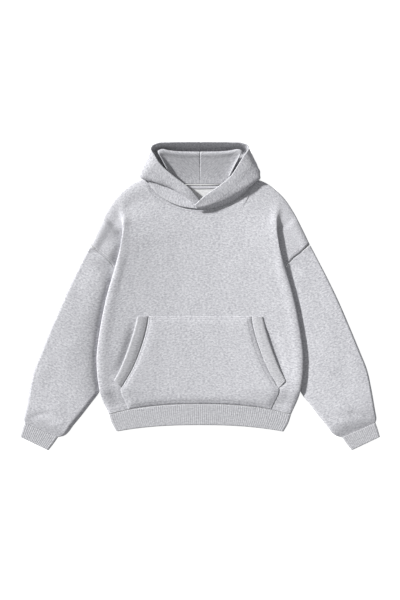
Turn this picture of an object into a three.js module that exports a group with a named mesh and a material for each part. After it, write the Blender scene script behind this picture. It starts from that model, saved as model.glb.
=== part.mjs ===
// Pullover hoodie lying flat on its back, seen from above.
// Millimetres. +X is to the viewer's right, +Y towards the hood, +Z up from the surface it lies on.
// Every cloth piece is a closed wall. Tubes (sleeves, cuffs, hem) are flattened rings with a flat
// underside; panels are grids of sections given a thickness.

import * as THREE from 'three';

// Cloth
const FLEECE = 2.4;
const RIB_KNIT = 2.4;
const LINING = 2.2;
const DOUBLE_HOOD = 4.0;
const TAPE = 1.2;
const SEAM_GAP = 0.3;

// How the layers lie on each other
const EDGE_HEIGHT = 7.6;
const CENTRE_HEIGHT = 8.0;
const THIRD_LAYER_Z = 6.6;
const TUCK_RADIUS = 2.1;
const FOLD_RADIUS = 4.2;
const FOLD_ROLL = 2.4;
const RETURN_Z = THIRD_LAYER_Z + 2 * TUCK_RADIUS;
const FOLD_TOP_Z = RETURN_Z + 2 * FOLD_RADIUS;
const FRONT_Z = CENTRE_HEIGHT - FLEECE / 2;
const SHOULDER_Z = EDGE_HEIGHT - FLEECE / 2;
const SHOULDER_ROLL = SHOULDER_Z - FLEECE - 2 * SEAM_GAP;

// Rise of the sleeves out of the valley beside the body's folds, and where it fades at the shoulder
const SLEEVE_LOFT = 14;
const LOFT_START = 12;
const LOFT_REACH = 26;
const LOFT_FADE = [0.6, 1];

// Rib knit
const RIB_PITCH = 6.2;
const RIB_RISE = 0.55;

// Grid sizes
const TOP_COLUMNS = 8;
const ARMHOLE_STATIONS = 9;
const SLEEVE_ROWS = 13;
const HOOD_COLUMNS = 12;
const HOOD_ROWS = 17;
const LINING_COLUMNS = 7;
const LINING_ROWS = 9;

// Colours of the light grey melange and its rib
const MELANGE = 0xc9c9cd;
const MELANGE_INSIDE = 0xb4b4b8;
const RIB_GREY = 0xb6b6ba;
const TAPE_GREY = 0xc2c2c5;

// The outline is symmetric about x = 0, so these tables hold the +X side.

// Side fold of the front, which bounds the body in view
const BODY_EDGE = [
  { y: -342, x: 264 }, { y: -310, x: 279 }, { y: -276, x: 290 }, { y: -237, x: 296 },
  { y: -194, x: 299 }, { y: -153, x: 297 }, { y: -78, x: 286 }, { y: 4, x: 269 },
  { y: 88, x: 245 }, { y: 154, x: 229 }, { y: 209, x: 221 }, { y: 238, x: 225 }, { y: 288, x: 240 },
];

// How far in the front reaches under its own side fold, above the armpit
const TUCK = [
  { y: -98, x: 214 }, { y: -60, x: 206 }, { y: 30, x: 210 }, { y: 115, x: 210 },
  { y: 160, x: 204 }, { y: 205, x: 203 }, { y: 260, x: 214 }, { y: 288, x: 236 },
];

// Heights between which the side fold flattens out at the shoulder
const FOLD_FADE = [165, 280];

// Side seam, rolled under the body, where the front meets the back
const SIDE_SEAM = [
  { y: -342, x: 252 }, { y: -300, x: 254 }, { y: -250, x: 248 }, { y: -194, x: 233 },
  { y: -130, x: 215 }, { y: -98, x: 212 },
];
const SIDE_SEAM_ROWS = [-342, -322, -300, -276, -248, -212, -172, -132];
const ARMPIT_Y = -98;
const CENTRE_AT_ARMPIT_Y = -96;
const ARMPIT_SEAM_X = 213;
const TOP_ROW_Y = 288;

// Drop-shoulder armhole seam, from the armpit to the shoulder edge
const ARMHOLE = [
  { x: 226, y: -98 }, { x: 229, y: -50 }, { x: 234, y: 10 }, { x: 243, y: 72 },
  { x: 262, y: 100 }, { x: 293, y: 127 }, { x: 319, y: 148 },
];

const SHOULDER = [
  { x: 150, y: 338 }, { x: 172, y: 336 }, { x: 207, y: 317 }, { x: 240, y: 288 },
  { x: 272, y: 242 }, { x: 293, y: 202 }, { x: 319, y: 148 },
];
const SHOULDER_AT_FOLD = 0.42;
const FRONT_SHOULDER_END = 0.985;
const BACK_SHOULDER_END = 0.995;
const FRONT_NECKLINE = [
  { x: 0, y: 256 }, { x: 44, y: 260 }, { x: 84, y: 273 }, { x: 114, y: 290 },
  { x: 137, y: 311 }, { x: 150, y: 338 },
];
const NECK_OVERLAP_LENGTH = 175;
const BACK_NECKLINE = [{ x: 0, y: 322 }, { x: 75, y: 325 }, { x: 150, y: 338 }];

// Sleeve, a row for each section from the armhole to the cuff seam
const SLEEVE = [
  { inX: 226, inY: -98, outX: 319, outY: 148 },
  { inX: 240, inY: -135, outX: 340, outY: 108 },
  { inX: 257, inY: -182, outX: 368, outY: 54 },
  { inX: 274, inY: -232, outX: 400, outY: -12 },
  { inX: 292, inY: -278, outX: 432, outY: -86 },
  { inX: 316, inY: -311, outX: 462, outY: -158 },
  { inX: 343, inY: -346, outX: 484, outY: -214 },
  { inX: 366, inY: -374, outX: 496, outY: -268 },
  { inX: 380, inY: -393, outX: 506, outY: -325 },
  { inX: 394, inY: -404, outX: 511, outY: -353 },
  { inX: 411, inY: -408, outX: 508, outY: -366 },
];
const CUFF = [
  { inX: 411, inY: -408, outX: 508, outY: -366 },
  { inX: 424, inY: -427, outX: 515, outY: -386 },
  { inX: 439, inY: -446, outX: 521, outY: -407 },
];

// Hem rib: its seam and its lower edge both dip towards the sides
const HEM = [
  { halfWidth: 264, centreY: -312, cornerY: -342 },
  { halfWidth: 256, centreY: -342, cornerY: -367 },
  { halfWidth: 242, centreY: -373, cornerY: -392 },
];
const HEM_DIP = 2.4;

// Kangaroo pocket, half its width up to the opening's curve
const POCKET_EDGE = [
  { y: -330, x: 208 }, { y: -272, x: 229 }, { y: -258, x: 221 }, { y: -213, x: 195 },
  { y: -157, x: 172 }, { y: -104, x: 156 }, { y: -58, x: 148 },
];
const POCKET_FOOT = -330;
const POCKET_TOP = -58;
const POCKET_LIFT = 1.5;
const POCKET_ROWS = 9;
const POCKET_COLUMNS = 16;
const BAND = [
  { inX: 148, inY: -58, outX: 182, outY: -60 },
  { inX: 156, inY: -104, outX: 191, outY: -98 },
  { inX: 172, inY: -157, outX: 208, outY: -151 },
  { inX: 195, inY: -213, outX: 228, outY: -203 },
  { inX: 227, inY: -265, outX: 248, outY: -243 },
];
const BAND_LIFT = 1.9;
const BAND_ROWS = 36;
const BAND_WALL = 3.0;

// Hood halves, a row for each section from the crossing at the front round to the centre back.
// neck is the place along the neckline (0 centre front, 1 high shoulder, 2 centre back), base is how
// far in the foot of the hood runs before it rises, fold is the low outer fold of the flap, and
// edge is the opening's edge.
const HOOD_BACK_ROWS = [
  { neck: 1.45, base: 48, foot: 2.6, foldX: 137, foldY: 421, foldZ: 10, edgeX: 137, edgeY: 434, edgeZ: 32 },
  { neck: 1.62, base: 56, foot: 2.6, foldX: 108, foldY: 430, foldZ: 9, edgeX: 116, edgeY: 442, edgeZ: 31 },
  { neck: 1.8, base: 60, foot: 2.6, foldX: 56, foldY: 431, foldZ: 9, edgeX: 60, edgeY: 444, edgeZ: 30 },
  { neck: 2.0, base: 60, foot: 2.6, foldX: 0, foldY: 431, foldZ: 9, edgeX: 0, edgeY: 444.4, edgeZ: 30 },
];
const HOOD_RIGHT = [
  { neck: -0.07, base: 2, foot: 18, foldX: -13, foldY: 259, foldZ: 22, edgeX: -14, edgeY: 264, edgeZ: 24 },
  { neck: 0.08, base: 3, foot: 17, foldX: 13, foldY: 258, foldZ: 21, edgeX: -1, edgeY: 277, edgeZ: 26 },
  { neck: 0.2, base: 4, foot: 11, foldX: 34, foldY: 263, foldZ: 18, edgeX: 19, edgeY: 294, edgeZ: 26 },
  { neck: 0.37, base: 5, foot: 10.4, foldX: 64, foldY: 272, foldZ: 15.5, edgeX: 46, edgeY: 312, edgeZ: 26 },
  { neck: 0.55, base: 5, foot: 10.4, foldX: 92, foldY: 287, foldZ: 15, edgeX: 77, edgeY: 336, edgeZ: 27 },
  { neck: 0.73, base: 6, foot: 10.4, foldX: 122, foldY: 304, foldZ: 15, edgeX: 93, edgeY: 352, edgeZ: 29 },
  { neck: 0.88, base: 6, foot: 10.4, foldX: 151, foldY: 322, foldZ: 15, edgeX: 112, edgeY: 382, edgeZ: 32 },
  { neck: 1.0, base: 8, foot: 10.4, foldX: 178, foldY: 342, foldZ: 15, edgeX: 122, edgeY: 398, edgeZ: 34 },
  { neck: 1.14, base: 14, foot: 5, foldX: 171, foldY: 366, foldZ: 14, edgeX: 130, edgeY: 411, edgeZ: 35 },
  { neck: 1.3, base: 34, foot: 2.6, foldX: 158, foldY: 394, foldZ: 12, edgeX: 139, edgeY: 423, edgeZ: 34 },
  ...HOOD_BACK_ROWS,
];
const HOOD_LEFT = [
  { neck: -0.05, base: 3, foot: 10.4, foldX: -10, foldY: 263, foldZ: 11.5, edgeX: -10, edgeY: 269, edgeZ: 12.5 },
  { neck: 0.08, base: 8, foot: 10.4, foldX: 12, foldY: 270, foldZ: 13.5, edgeX: 3, edgeY: 278, edgeZ: 15 },
  { neck: 0.2, base: 24, foot: 10.4, foldX: 34, foldY: 283, foldZ: 17, edgeX: 17, edgeY: 298, edgeZ: 21 },
  { neck: 0.37, base: 36, foot: 10.4, foldX: 55, foldY: 297, foldZ: 18, edgeX: 32, edgeY: 313, edgeZ: 25 },
  { neck: 0.55, base: 42, foot: 10.4, foldX: 84, foldY: 314, foldZ: 18, edgeX: 55, edgeY: 331, edgeZ: 27 },
  { neck: 0.73, base: 36, foot: 10.4, foldX: 114, foldY: 324, foldZ: 18, edgeX: 89, edgeY: 357, edgeZ: 30 },
  { neck: 0.88, base: 22, foot: 10.4, foldX: 146, foldY: 333, foldZ: 17.5, edgeX: 113, edgeY: 380, edgeZ: 33 },
  { neck: 1.0, base: 10, foot: 10.4, foldX: 178, foldY: 345, foldZ: 16.5, edgeX: 124, edgeY: 395, edgeZ: 35 },
  { neck: 1.14, base: 14, foot: 5, foldX: 172, foldY: 366, foldZ: 14, edgeX: 131, edgeY: 408, edgeZ: 35 },
  { neck: 1.3, base: 34, foot: 2.6, foldX: 159, foldY: 394, foldZ: 12, edgeX: 140, edgeY: 422, edgeZ: 34 },
  ...HOOD_BACK_ROWS,
];
const FLAP_CREST = 2;

// Inside back of the hood, from the neck tape up to the fold that stands behind the opening
const HOOD_INSIDE = [
  { neckX: 92, neckY: 322, ridgeX: 84, ridgeY: 345, ridgeZ: 21 },
  { neckX: 84, neckY: 322, ridgeX: 95, ridgeY: 368, ridgeZ: 25 },
  { neckX: 74, neckY: 323, ridgeX: 107, ridgeY: 391, ridgeZ: 28 },
  { neckX: 60, neckY: 324, ridgeX: 119, ridgeY: 414, ridgeZ: 29 },
  { neckX: 44, neckY: 324, ridgeX: 104, ridgeY: 420, ridgeZ: 28 },
  { neckX: 28, neckY: 324, ridgeX: 80, ridgeY: 415, ridgeZ: 26 },
  { neckX: 14, neckY: 324, ridgeX: 42, ridgeY: 413, ridgeZ: 24 },
  { neckX: 0, neckY: 324, ridgeX: 0, ridgeY: 412.5, ridgeZ: 23 },
];
const INSIDE_FOOT_Z = 6.4;

const smooth = (low, high, value) => THREE.MathUtils.smoothstep(value, low, high);
const mix = THREE.MathUtils.lerp;

// Curve through a table's columns, read at 0 to 1 over its rows
function tableRow(table, share) {
  const last = table.length - 1;
  const place = THREE.MathUtils.clamp(share, 0, 1) * last;
  const low = Math.min(Math.floor(place), last - 1);
  const part = place - low;
  const row = {};
  for (const name of Object.keys(table[0])) {
    const before = table[Math.max(low - 1, 0)][name];
    const from = table[low][name];
    const to = table[low + 1][name];
    const after = table[Math.min(low + 2, last)][name];
    const startSlope = (to - before) / 2;
    const endSlope = (after - from) / 2;
    const a = 2 * from - 2 * to + startSlope + endSlope;
    const b = 3 * to - 3 * from - 2 * startSlope - endSlope;
    row[name] = ((a * part + b) * part + startSlope) * part + from;
  }
  return row;
}

// Width at a height, from a table of y and x
function widthAt(table, y) {
  const last = table.length - 1;
  if (y <= table[0].y) return table[0].x;
  for (let i = 0; i < last; i += 1) {
    if (y <= table[i + 1].y) {
      const part = (y - table[i].y) / (table[i + 1].y - table[i].y);
      return tableRow(table, (i + part) / last).x;
    }
  }
  return table[last].x;
}

// Curve in plan through a table of x and y
function planCurve(table) {
  const points = table.map((row) => new THREE.Vector3(row.x, row.y, 0));
  return new THREE.CatmullRomCurve3(points, false, 'centripetal');
}

const armhole = planCurve(ARMHOLE);
const shoulder = planCurve(SHOULDER);
const frontNeckline = planCurve(FRONT_NECKLINE);
const backNeckline = planCurve(BACK_NECKLINE);

// Closed wall between two grids of points. A ring grid joins its last column to its first.
function wallGeometry(outer, inner, ring) {
  const rows = outer.length;
  const columns = outer[0].length;
  const points = [...outer.flat(), ...inner.flat()];
  const innerStart = rows * columns;
  const index = [];
  const quad = (a, b, c, d) => index.push(a, b, c, a, c, d);
  const spans = ring ? columns : columns - 1;
  for (let r = 0; r < rows - 1; r += 1) {
    for (let c = 0; c < spans; c += 1) {
      const a = r * columns + c;
      const b = r * columns + ((c + 1) % columns);
      quad(a, b, b + columns, a + columns);
      quad(innerStart + b, innerStart + a, innerStart + a + columns, innerStart + b + columns);
    }
  }
  for (let c = 0; c < spans; c += 1) {
    const a = c;
    const b = (c + 1) % columns;
    const top = (rows - 1) * columns;
    quad(b, a, innerStart + a, innerStart + b);
    quad(top + a, top + b, innerStart + top + b, innerStart + top + a);
  }
  if (!ring) {
    for (let r = 0; r < rows - 1; r += 1) {
      const a = r * columns;
      const b = a + columns;
      const right = columns - 1;
      quad(a, b, innerStart + b, innerStart + a);
      quad(b + right, a + right, innerStart + a + right, innerStart + b + right);
    }
  }
  return facingOut(points, index);
}

// Geometry from points and triangles, turned over if its volume comes out negative
function facingOut(points, index) {
  let volume = 0;
  for (let i = 0; i < index.length; i += 3) {
    const [a, b, c] = [points[index[i]], points[index[i + 1]], points[index[i + 2]]];
    volume += a.dot(new THREE.Vector3().crossVectors(b, c));
  }
  if (volume < 0) index.reverse();
  const geometry = new THREE.BufferGeometry();
  geometry.setAttribute('position', new THREE.Float32BufferAttribute(points.flatMap((p) => p.toArray()), 3));
  geometry.setIndex(index);
  geometry.computeVertexNormals();
  return geometry;
}

// Normal of a grid at one of its points
function gridNormal(grid, r, c) {
  const rows = grid.length - 1;
  const columns = grid[0].length - 1;
  const along = grid[Math.min(r + 1, rows)][c].clone().sub(grid[Math.max(r - 1, 0)][c]);
  const across = grid[r][Math.min(c + 1, columns)].clone().sub(grid[r][Math.max(c - 1, 0)]);
  return across.cross(along).normalize();
}

// Wall of even thickness about a grid of middle points
function sheetWall(grid, thickness) {
  const shifted = (distance) => grid.map((row, r) => row.map((point, c) => (
    point.clone().addScaledVector(gridNormal(grid, r, c), distance)
  )));
  return wallGeometry(shifted(thickness / 2), shifted(-thickness / 2), false);
}

// Grid with its inner points drawn towards their neighbours, so that folds come out round
function relaxed(grid) {
  const last = { row: grid.length - 1, column: grid[0].length - 1 };
  return grid.map((row, r) => row.map((point, c) => {
    if (c === 0 || c === last.column) return point.clone();
    const around = [row[c - 1], row[c + 1]];
    if (r > 0 && r < last.row) around.push(grid[r - 1][c], grid[r + 1][c]);
    const middle = new THREE.Vector3();
    around.forEach((near) => middle.addScaledVector(near, 1 / around.length));
    return point.clone().lerp(middle, 0.4);
  }));
}

const mirrored = (point) => new THREE.Vector3(-point.x, point.y, point.z);

// Both halves of a row that is given from the centre outwards
const fullRow = (half) => [...half.slice(1).reverse().map(mirrored), ...half];

// Ring section of a flattened tube: over the top, round one edge, back underneath, round the other
function tubeSection({ at, length, height, stations, underStations, wall, rise = 0 }) {
  const [lowRadius, highRadius] = [0, 1].map((share) => height(share, at(share)) / 2);
  const free = 1 - (lowRadius + highRadius) / length;
  const place = (share) => at(lowRadius / length + share * free);
  const high = { centre: place(1), out: at(1).sub(at(0.96)).normalize(), turn: -1, radius: highRadius };
  const low = { centre: place(0), out: at(0).sub(at(0.04)).normalize(), turn: 1, radius: lowRadius };
  const ring = (depth, ribs) => {
    const points = [];
    for (let k = 0; k <= stations; k += 1) {
      const rib = k % 2 === 1 ? ribs : 0;
      const point = place(k / stations);
      points.push(point.setZ(height(k / stations, point) - depth + rib));
    }
    points.push(...edgeArc(high, depth));
    for (let k = underStations; k >= 0; k -= 1) {
      points.push(place(k / underStations).setZ(depth));
    }
    points.push(...edgeArc(low, depth));
    return points;
  };
  return { outer: ring(0, rise), inner: ring(wall, 0) };
}

// Points round the edge of a tube, at a depth inside its face
function edgeArc({ centre, out, turn, radius }, depth) {
  return [45, 0, -45].map((degrees) => {
    const angle = THREE.MathUtils.degToRad(degrees * -turn);
    const reach = (radius - depth) * Math.cos(angle);
    const z = radius + (radius - depth) * Math.sin(angle);
    return centre.clone().addScaledVector(out, reach).setZ(z);
  });
}

function tubeWall(sections) {
  return wallGeometry(sections.map((s) => s.outer), sections.map((s) => s.inner), true);
}

const edgeX = (y) => widthAt(BODY_EDGE, y);

// Seam between the body and the hem rib, which dips towards the sides
const hemSeamY = (x) => mix(HEM[0].centreY, HEM[0].cornerY, (Math.abs(x) / HEM[0].halfWidth) ** HEM_DIP);

// How fully the side fold is formed at a height: none at the shoulder, whole from the chest down
const foldShare = (y) => 1 - smooth(...FOLD_FADE, y);

// How far the body's side is lifted over the sleeve at a height
const sideLift = (y) => smooth(-322, -262, y);

// Rise of the shoulder and the sleeve beside the body's fold
function loft(x, y) {
  const away = Math.max(0, Math.abs(x) - edgeX(y) - LOFT_START);
  return SLEEVE_LOFT * (1 - Math.exp(-away / LOFT_REACH)) * (1 - smooth(170, 290, y));
}

// Middle of the front's top layer
function frontHeight(x, y) {
  const share = Math.abs(x) / edgeX(y);
  const lifted = (FOLD_TOP_Z - FRONT_Z) * share ** 2;
  const rest = (SHOULDER_Z - FRONT_Z) * share;
  return FRONT_Z + mix(rest, lifted, foldShare(y) * sideLift(y));
}

// Seam that a body row ends at: the side seam, then the armhole
function seamPoint(row, edge) {
  const sideRows = SIDE_SEAM_ROWS.length;
  if (row < sideRows) {
    const y = SIDE_SEAM_ROWS[row];
    return new THREE.Vector3(widthAt(SIDE_SEAM, y) + edge, y, 0);
  }
  const share = (row - sideRows) / ARMHOLE_STATIONS;
  const inset = EDGE_HEIGHT / 2 / armhole.getLength();
  const place = inset + share * (1 - 2 * inset);
  const tangent = armhole.getTangentAt(place);
  const inward = new THREE.Vector3(-tangent.y, tangent.x, 0);
  return armhole.getPointAt(place).addScaledVector(inward, -edge);
}

const BODY_ROWS = SIDE_SEAM_ROWS.length + ARMHOLE_STATIONS;
const seamRise = (row) => Math.max(0, (row - SIDE_SEAM_ROWS.length) / ARMHOLE_STATIONS);

// Heights of a front row at the centre and at the side fold
function frontRowHeights(row) {
  const rise = seamRise(row);
  if (row < SIDE_SEAM_ROWS.length) {
    const y = SIDE_SEAM_ROWS[row];
    const share = (y - SIDE_SEAM_ROWS[0]) / (ARMPIT_Y - SIDE_SEAM_ROWS[0]);
    return { centreY: mix(HEM[0].centreY, CENTRE_AT_ARMPIT_Y, share), foldY: y };
  }
  return {
    centreY: mix(CENTRE_AT_ARMPIT_Y, FRONT_NECKLINE[0].y, rise),
    foldY: mix(ARMPIT_Y, TOP_ROW_Y, rise),
  };
}

// Plan place on the upper edge of the front, from centre front over the neckline and the shoulder
function frontTopEdge(column) {
  const neckColumns = 5;
  if (column <= neckColumns) return frontNeckline.getPointAt(column / neckColumns);
  const toFold = TOP_COLUMNS - neckColumns;
  return shoulder.getPointAt(SHOULDER_AT_FOLD * (column - neckColumns) / toFold);
}

// Points round the side fold, from its top down to the layer that runs back in
function foldArc(foldY, top, backZ) {
  const radius = (top - backZ) / 2;
  const rollX = foldInnerX(foldY);
  return [60, 0, -60].map((degrees) => {
    const angle = THREE.MathUtils.degToRad(degrees);
    const z = backZ + radius + radius * Math.sin(angle);
    return new THREE.Vector3(rollX + FOLD_ROLL * Math.cos(angle), foldY, z);
  });
}

// Where the top layer of the front starts to turn over at its side fold
const foldInnerX = (y) => edgeX(y) - FLEECE / 2 - FOLD_ROLL;

// Under part of a front row: round the side fold, back in, round the tuck and out to the seam
function foldedPath(row, foldY) {
  const above = row > SIDE_SEAM_ROWS.length;
  const top = frontHeight(edgeX(foldY), Math.min(foldY, FOLD_FADE[0]));
  const seam = seamPoint(row, above ? -SEAM_GAP * 1.5 : SEAM_GAP * 1.5);
  const backZ = above ? RETURN_Z : mix(FLEECE / 2, RETURN_Z, sideLift(foldY));
  const points = foldArc(foldY, top, backZ);
  const returnX = foldInnerX(foldY);
  if (above) {
    points.push(...tuckedPath(returnX, foldY, seam));
    return points;
  }
  const seamZ = row < 2 ? FLEECE / 2 : FLEECE * 1.5 + SEAM_GAP * 2;
  const endX = row === SIDE_SEAM_ROWS.length ? ARMPIT_SEAM_X : seam.x;
  const spans = 8;
  for (let k = 0; k <= spans; k += 1) {
    const share = k / spans;
    const z = mix(seamZ, backZ, 1 - smooth(0.78, 1, share));
    points.push(new THREE.Vector3(mix(returnX, endX, share), foldY, z));
  }
  return points;
}

// The layer under the fold, the turn at its inner end, and the layer that runs out to the armhole
function tuckedPath(returnX, foldY, seam) {
  const tuck = widthAt(TUCK, foldY);
  const points = [
    new THREE.Vector3(returnX, foldY, RETURN_Z),
    new THREE.Vector3((returnX + tuck) / 2, foldY, RETURN_Z),
  ];
  for (const degrees of [90, 150, 210, 270]) {
    const angle = THREE.MathUtils.degToRad(degrees);
    const x = tuck + TUCK_RADIUS * (1 + Math.cos(angle));
    points.push(new THREE.Vector3(x, foldY, RETURN_Z - TUCK_RADIUS * (1 - Math.sin(angle))));
  }
  const from = points[points.length - 1];
  const to = seam.clone().setZ(THIRD_LAYER_Z);
  for (const share of [0.33, 0.67, 1]) points.push(from.clone().lerp(to, share));
  return points;
}

// Half of a front row, from the centre out to the seam
function frontHalfRow(row) {
  const { centreY, foldY } = frontRowHeights(row);
  const rise = seamRise(row);
  const edge = foldInnerX(foldY);
  const topRowEdge = foldInnerX(TOP_ROW_Y);
  const half = [];
  for (let column = 0; column <= TOP_COLUMNS; column += 1) {
    const share = column / TOP_COLUMNS;
    const point = new THREE.Vector3(edge * share, mix(centreY, foldY, share ** HEM_DIP), 0);
    const topRowY = mix(FRONT_NECKLINE[0].y, TOP_ROW_Y, share ** HEM_DIP);
    const topRow = new THREE.Vector3(topRowEdge * share, topRowY, 0);
    point.add(frontTopEdge(column).sub(topRow).multiplyScalar(rise ** 3));
    point.z = frontHeight(point.x, Math.min(point.y, foldY + 20));
    half.push(point);
  }
  const folded = foldedPath(row, foldY);
  if (row > SIDE_SEAM_ROWS.length) {
    flattenFold(folded, half[TOP_COLUMNS], row, foldShare(foldY));
    const kept = 1 - smooth(...LOFT_FADE, rise);
    for (const point of folded.slice(-3)) point.z += loft(point.x, point.y) * kept;
  }
  const whole = [...half, ...folded];
  if (row === 0) whole.forEach((point) => { point.y = hemSeamY(point.x); });
  return whole;
}

// Draws the folded part of a row out flat towards the shoulder, where there is no fold
function flattenFold(folded, start, row, fold) {
  const end = seamPoint(row, -SEAM_GAP * 1.5);
  folded.forEach((point, k) => {
    const share = (k + 1) / folded.length;
    const flat = start.clone().lerp(end, share);
    if (row === BODY_ROWS) flat.copy(shoulder.getPointAt(mix(SHOULDER_AT_FOLD, FRONT_SHOULDER_END, share)));
    flat.z = mix(SHOULDER_Z, THIRD_LAYER_Z, share);
    point.lerpVectors(flat, point, fold);
  });
}

// Rows that turn the shoulder edge down onto the back, and leave the neckline as it is
function shoulderRoll(topRow, degrees) {
  const radius = SHOULDER_ROLL;
  const angle = THREE.MathUtils.degToRad(degrees);
  return topRow.map((point, k) => {
    const before = topRow[Math.max(k - 1, 0)];
    const after = topRow[Math.min(k + 1, topRow.length - 1)];
    const tangent = after.clone().sub(before).setZ(0).normalize();
    const outward = new THREE.Vector3(-tangent.y, tangent.x, 0);
    const roll = smooth(120, 158, point.x);
    const reach = mix(radius * angle, radius * Math.sin(angle), roll) * mix(0.35, 1, roll);
    const rolled = point.clone().addScaledVector(outward, reach);
    rolled.z -= radius * (1 - Math.cos(angle)) * roll;
    return rolled;
  });
}

function bodyFront() {
  const halves = [];
  for (let row = 0; row <= BODY_ROWS; row += 1) halves.push(frontHalfRow(row));
  const inset = SHOULDER_ROLL + FLEECE / 2;
  const top = halves[BODY_ROWS];
  halves[BODY_ROWS] = top.map((point, k) => {
    const before = top[Math.max(k - 1, 0)];
    const after = top[Math.min(k + 1, top.length - 1)];
    const tangent = after.clone().sub(before).setZ(0).normalize();
    const inward = new THREE.Vector3(tangent.y, -tangent.x, 0);
    return point.clone().addScaledVector(inward, inset);
  });
  const edgeRow = halves[BODY_ROWS];
  halves.push(shoulderRoll(edgeRow, 45), shoulderRoll(edgeRow, 90));
  return sheetWall(halves.map(fullRow), FLEECE);
}

// Plan place on the upper edge of the back, from its centre over the neckline and the shoulder
function backTopEdge(column, columns) {
  const neckColumns = 3;
  if (column <= neckColumns) return backNeckline.getPointAt(column / neckColumns);
  return shoulder.getPointAt(BACK_SHOULDER_END * (column - neckColumns) / (columns - neckColumns));
}

// Half of a back row, from the centre out to the seam
function backHalfRow(row) {
  const columns = 8;
  const rise = seamRise(row);
  const { centreY } = frontRowHeights(row);
  const topEnd = shoulder.getPointAt(BACK_SHOULDER_END);
  const seam = seamPoint(row, row < SIDE_SEAM_ROWS.length ? 0 : -SEAM_GAP);
  if (row === BODY_ROWS) seam.copy(topEnd).x -= SEAM_GAP;
  const centre = mix(centreY, centreY + BACK_NECKLINE[0].y - FRONT_NECKLINE[0].y, rise ** 2);
  const half = [];
  for (let column = 0; column <= columns; column += 1) {
    const share = column / columns;
    const straight = new THREE.Vector3(seam.x * share, mix(centre, seam.y, share ** HEM_DIP), 0);
    const topRowY = mix(BACK_NECKLINE[0].y, topEnd.y, share ** HEM_DIP);
    const topRow = new THREE.Vector3(topEnd.x * share, topRowY, 0);
    half.push(straight.add(backTopEdge(column, columns).sub(topRow).multiplyScalar(rise ** 3)));
  }
  if (row === 0) half.forEach((point) => { point.y = hemSeamY(point.x); });
  return half;
}

// Back panel, flat on the surface, between the same seams
function bodyBack() {
  const rows = [];
  for (let row = 0; row <= BODY_ROWS; row += 1) rows.push(fullRow(backHalfRow(row)));
  const level = (z) => rows.map((row) => row.map((point) => point.clone().setZ(z)));
  return wallGeometry(level(FLEECE), level(0), false);
}

// Plan place across a sleeve row, which follows the armhole's curve near the seam
function sleevePlace(row, along, share, side) {
  const seamBow = Math.max(0, 1 - along * 2.2) ** 2;
  const point = new THREE.Vector3(mix(row.inX, row.outX, share), mix(row.inY, row.outY, share), 0);
  const seamChord = armhole.getPointAt(0).lerp(armhole.getPointAt(1), share);
  point.add(armhole.getPointAt(share).sub(seamChord).multiplyScalar(seamBow));
  point.x *= side;
  return point;
}

// Sleeve tube from the armhole seam to the cuff seam
function sleeve(side) {
  const sections = [];
  for (let r = 0; r <= SLEEVE_ROWS; r += 1) {
    const along = r / SLEEVE_ROWS;
    const row = tableRow(SLEEVE, along);
    const width = Math.hypot(row.outX - row.inX, row.outY - row.inY);
    const nearCuff = smooth(0.72, 1, along);
    const outerLow = mix(1, 0.4, smooth(0, 0.3, along));
    sections.push(tubeSection({
      at: (share) => sleevePlace(row, along, share, side),
      length: r === 0 ? armhole.getLength() : width,
      height: (share, point) => {
        const kept = (1 - nearCuff) * (1 - outerLow * smooth(...LOFT_FADE, share));
        return EDGE_HEIGHT + 0.2 * Math.sin(Math.PI * share) + loft(point.x, point.y) * kept;
      },
      stations: ARMHOLE_STATIONS,
      underStations: ARMHOLE_STATIONS,
      wall: FLEECE,
    }));
  }
  return tubeWall(sections);
}

function cuff(side) {
  const width = Math.hypot(CUFF[0].outX - CUFF[0].inX, CUFF[0].outY - CUFF[0].inY);
  const stations = 2 * Math.round(width / RIB_PITCH);
  const sections = CUFF.map((row, r) => {
    const shift = r === 0 ? SEAM_GAP : 0;
    const at = (share) => new THREE.Vector3(
      (mix(row.inX, row.outX, share) + shift * 0.6) * side,
      mix(row.inY, row.outY, share) - shift * 1.2,
      0,
    );
    return tubeSection({
      at,
      length: Math.hypot(row.outX - row.inX, row.outY - row.inY),
      height: () => EDGE_HEIGHT,
      stations,
      underStations: 6,
      wall: RIB_KNIT,
      rise: RIB_RISE,
    });
  });
  return tubeWall(sections);
}

function hemRib() {
  const stations = 2 * Math.round(HEM[0].halfWidth * 2 / RIB_PITCH);
  const sections = HEM.map((row, r) => {
    const drop = r === 0 ? 3 * SEAM_GAP : 0;
    const at = (share) => {
      const x = mix(-row.halfWidth, row.halfWidth, share);
      const out = Math.abs(x) / row.halfWidth;
      return new THREE.Vector3(x, mix(row.centreY, row.cornerY, out ** HEM_DIP) - drop, 0);
    };
    return tubeSection({
      at,
      length: row.halfWidth * 2,
      height: (share) => mix(EDGE_HEIGHT, CENTRE_HEIGHT, Math.sin(Math.PI * share)),
      stations,
      underStations: 16,
      wall: RIB_KNIT,
      rise: RIB_RISE,
    });
  });
  return tubeWall(sections);
}

// Height of a middle surface laid on the front: above its face by a gap and half a wall
const onFront = (x, y, gap, wall) => frontHeight(x, y) + FLEECE / 2 + gap + wall / 2;

function pocket() {
  const grid = [];
  for (let r = 0; r <= POCKET_ROWS; r += 1) {
    const row = [];
    const share = r / POCKET_ROWS;
    const sideY = mix(POCKET_FOOT, POCKET_TOP, share);
    const half = widthAt(POCKET_EDGE, sideY);
    for (let c = 0; c <= POCKET_COLUMNS; c += 1) {
      const x = mix(-half, half, c / POCKET_COLUMNS);
      const y = mix(hemSeamY(x) + 2, POCKET_TOP, share);
      row.push(new THREE.Vector3(x, y, onFront(x, y, POCKET_LIFT, FLEECE)));
    }
    grid.push(row);
  }
  return sheetWall(grid, FLEECE);
}

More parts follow.
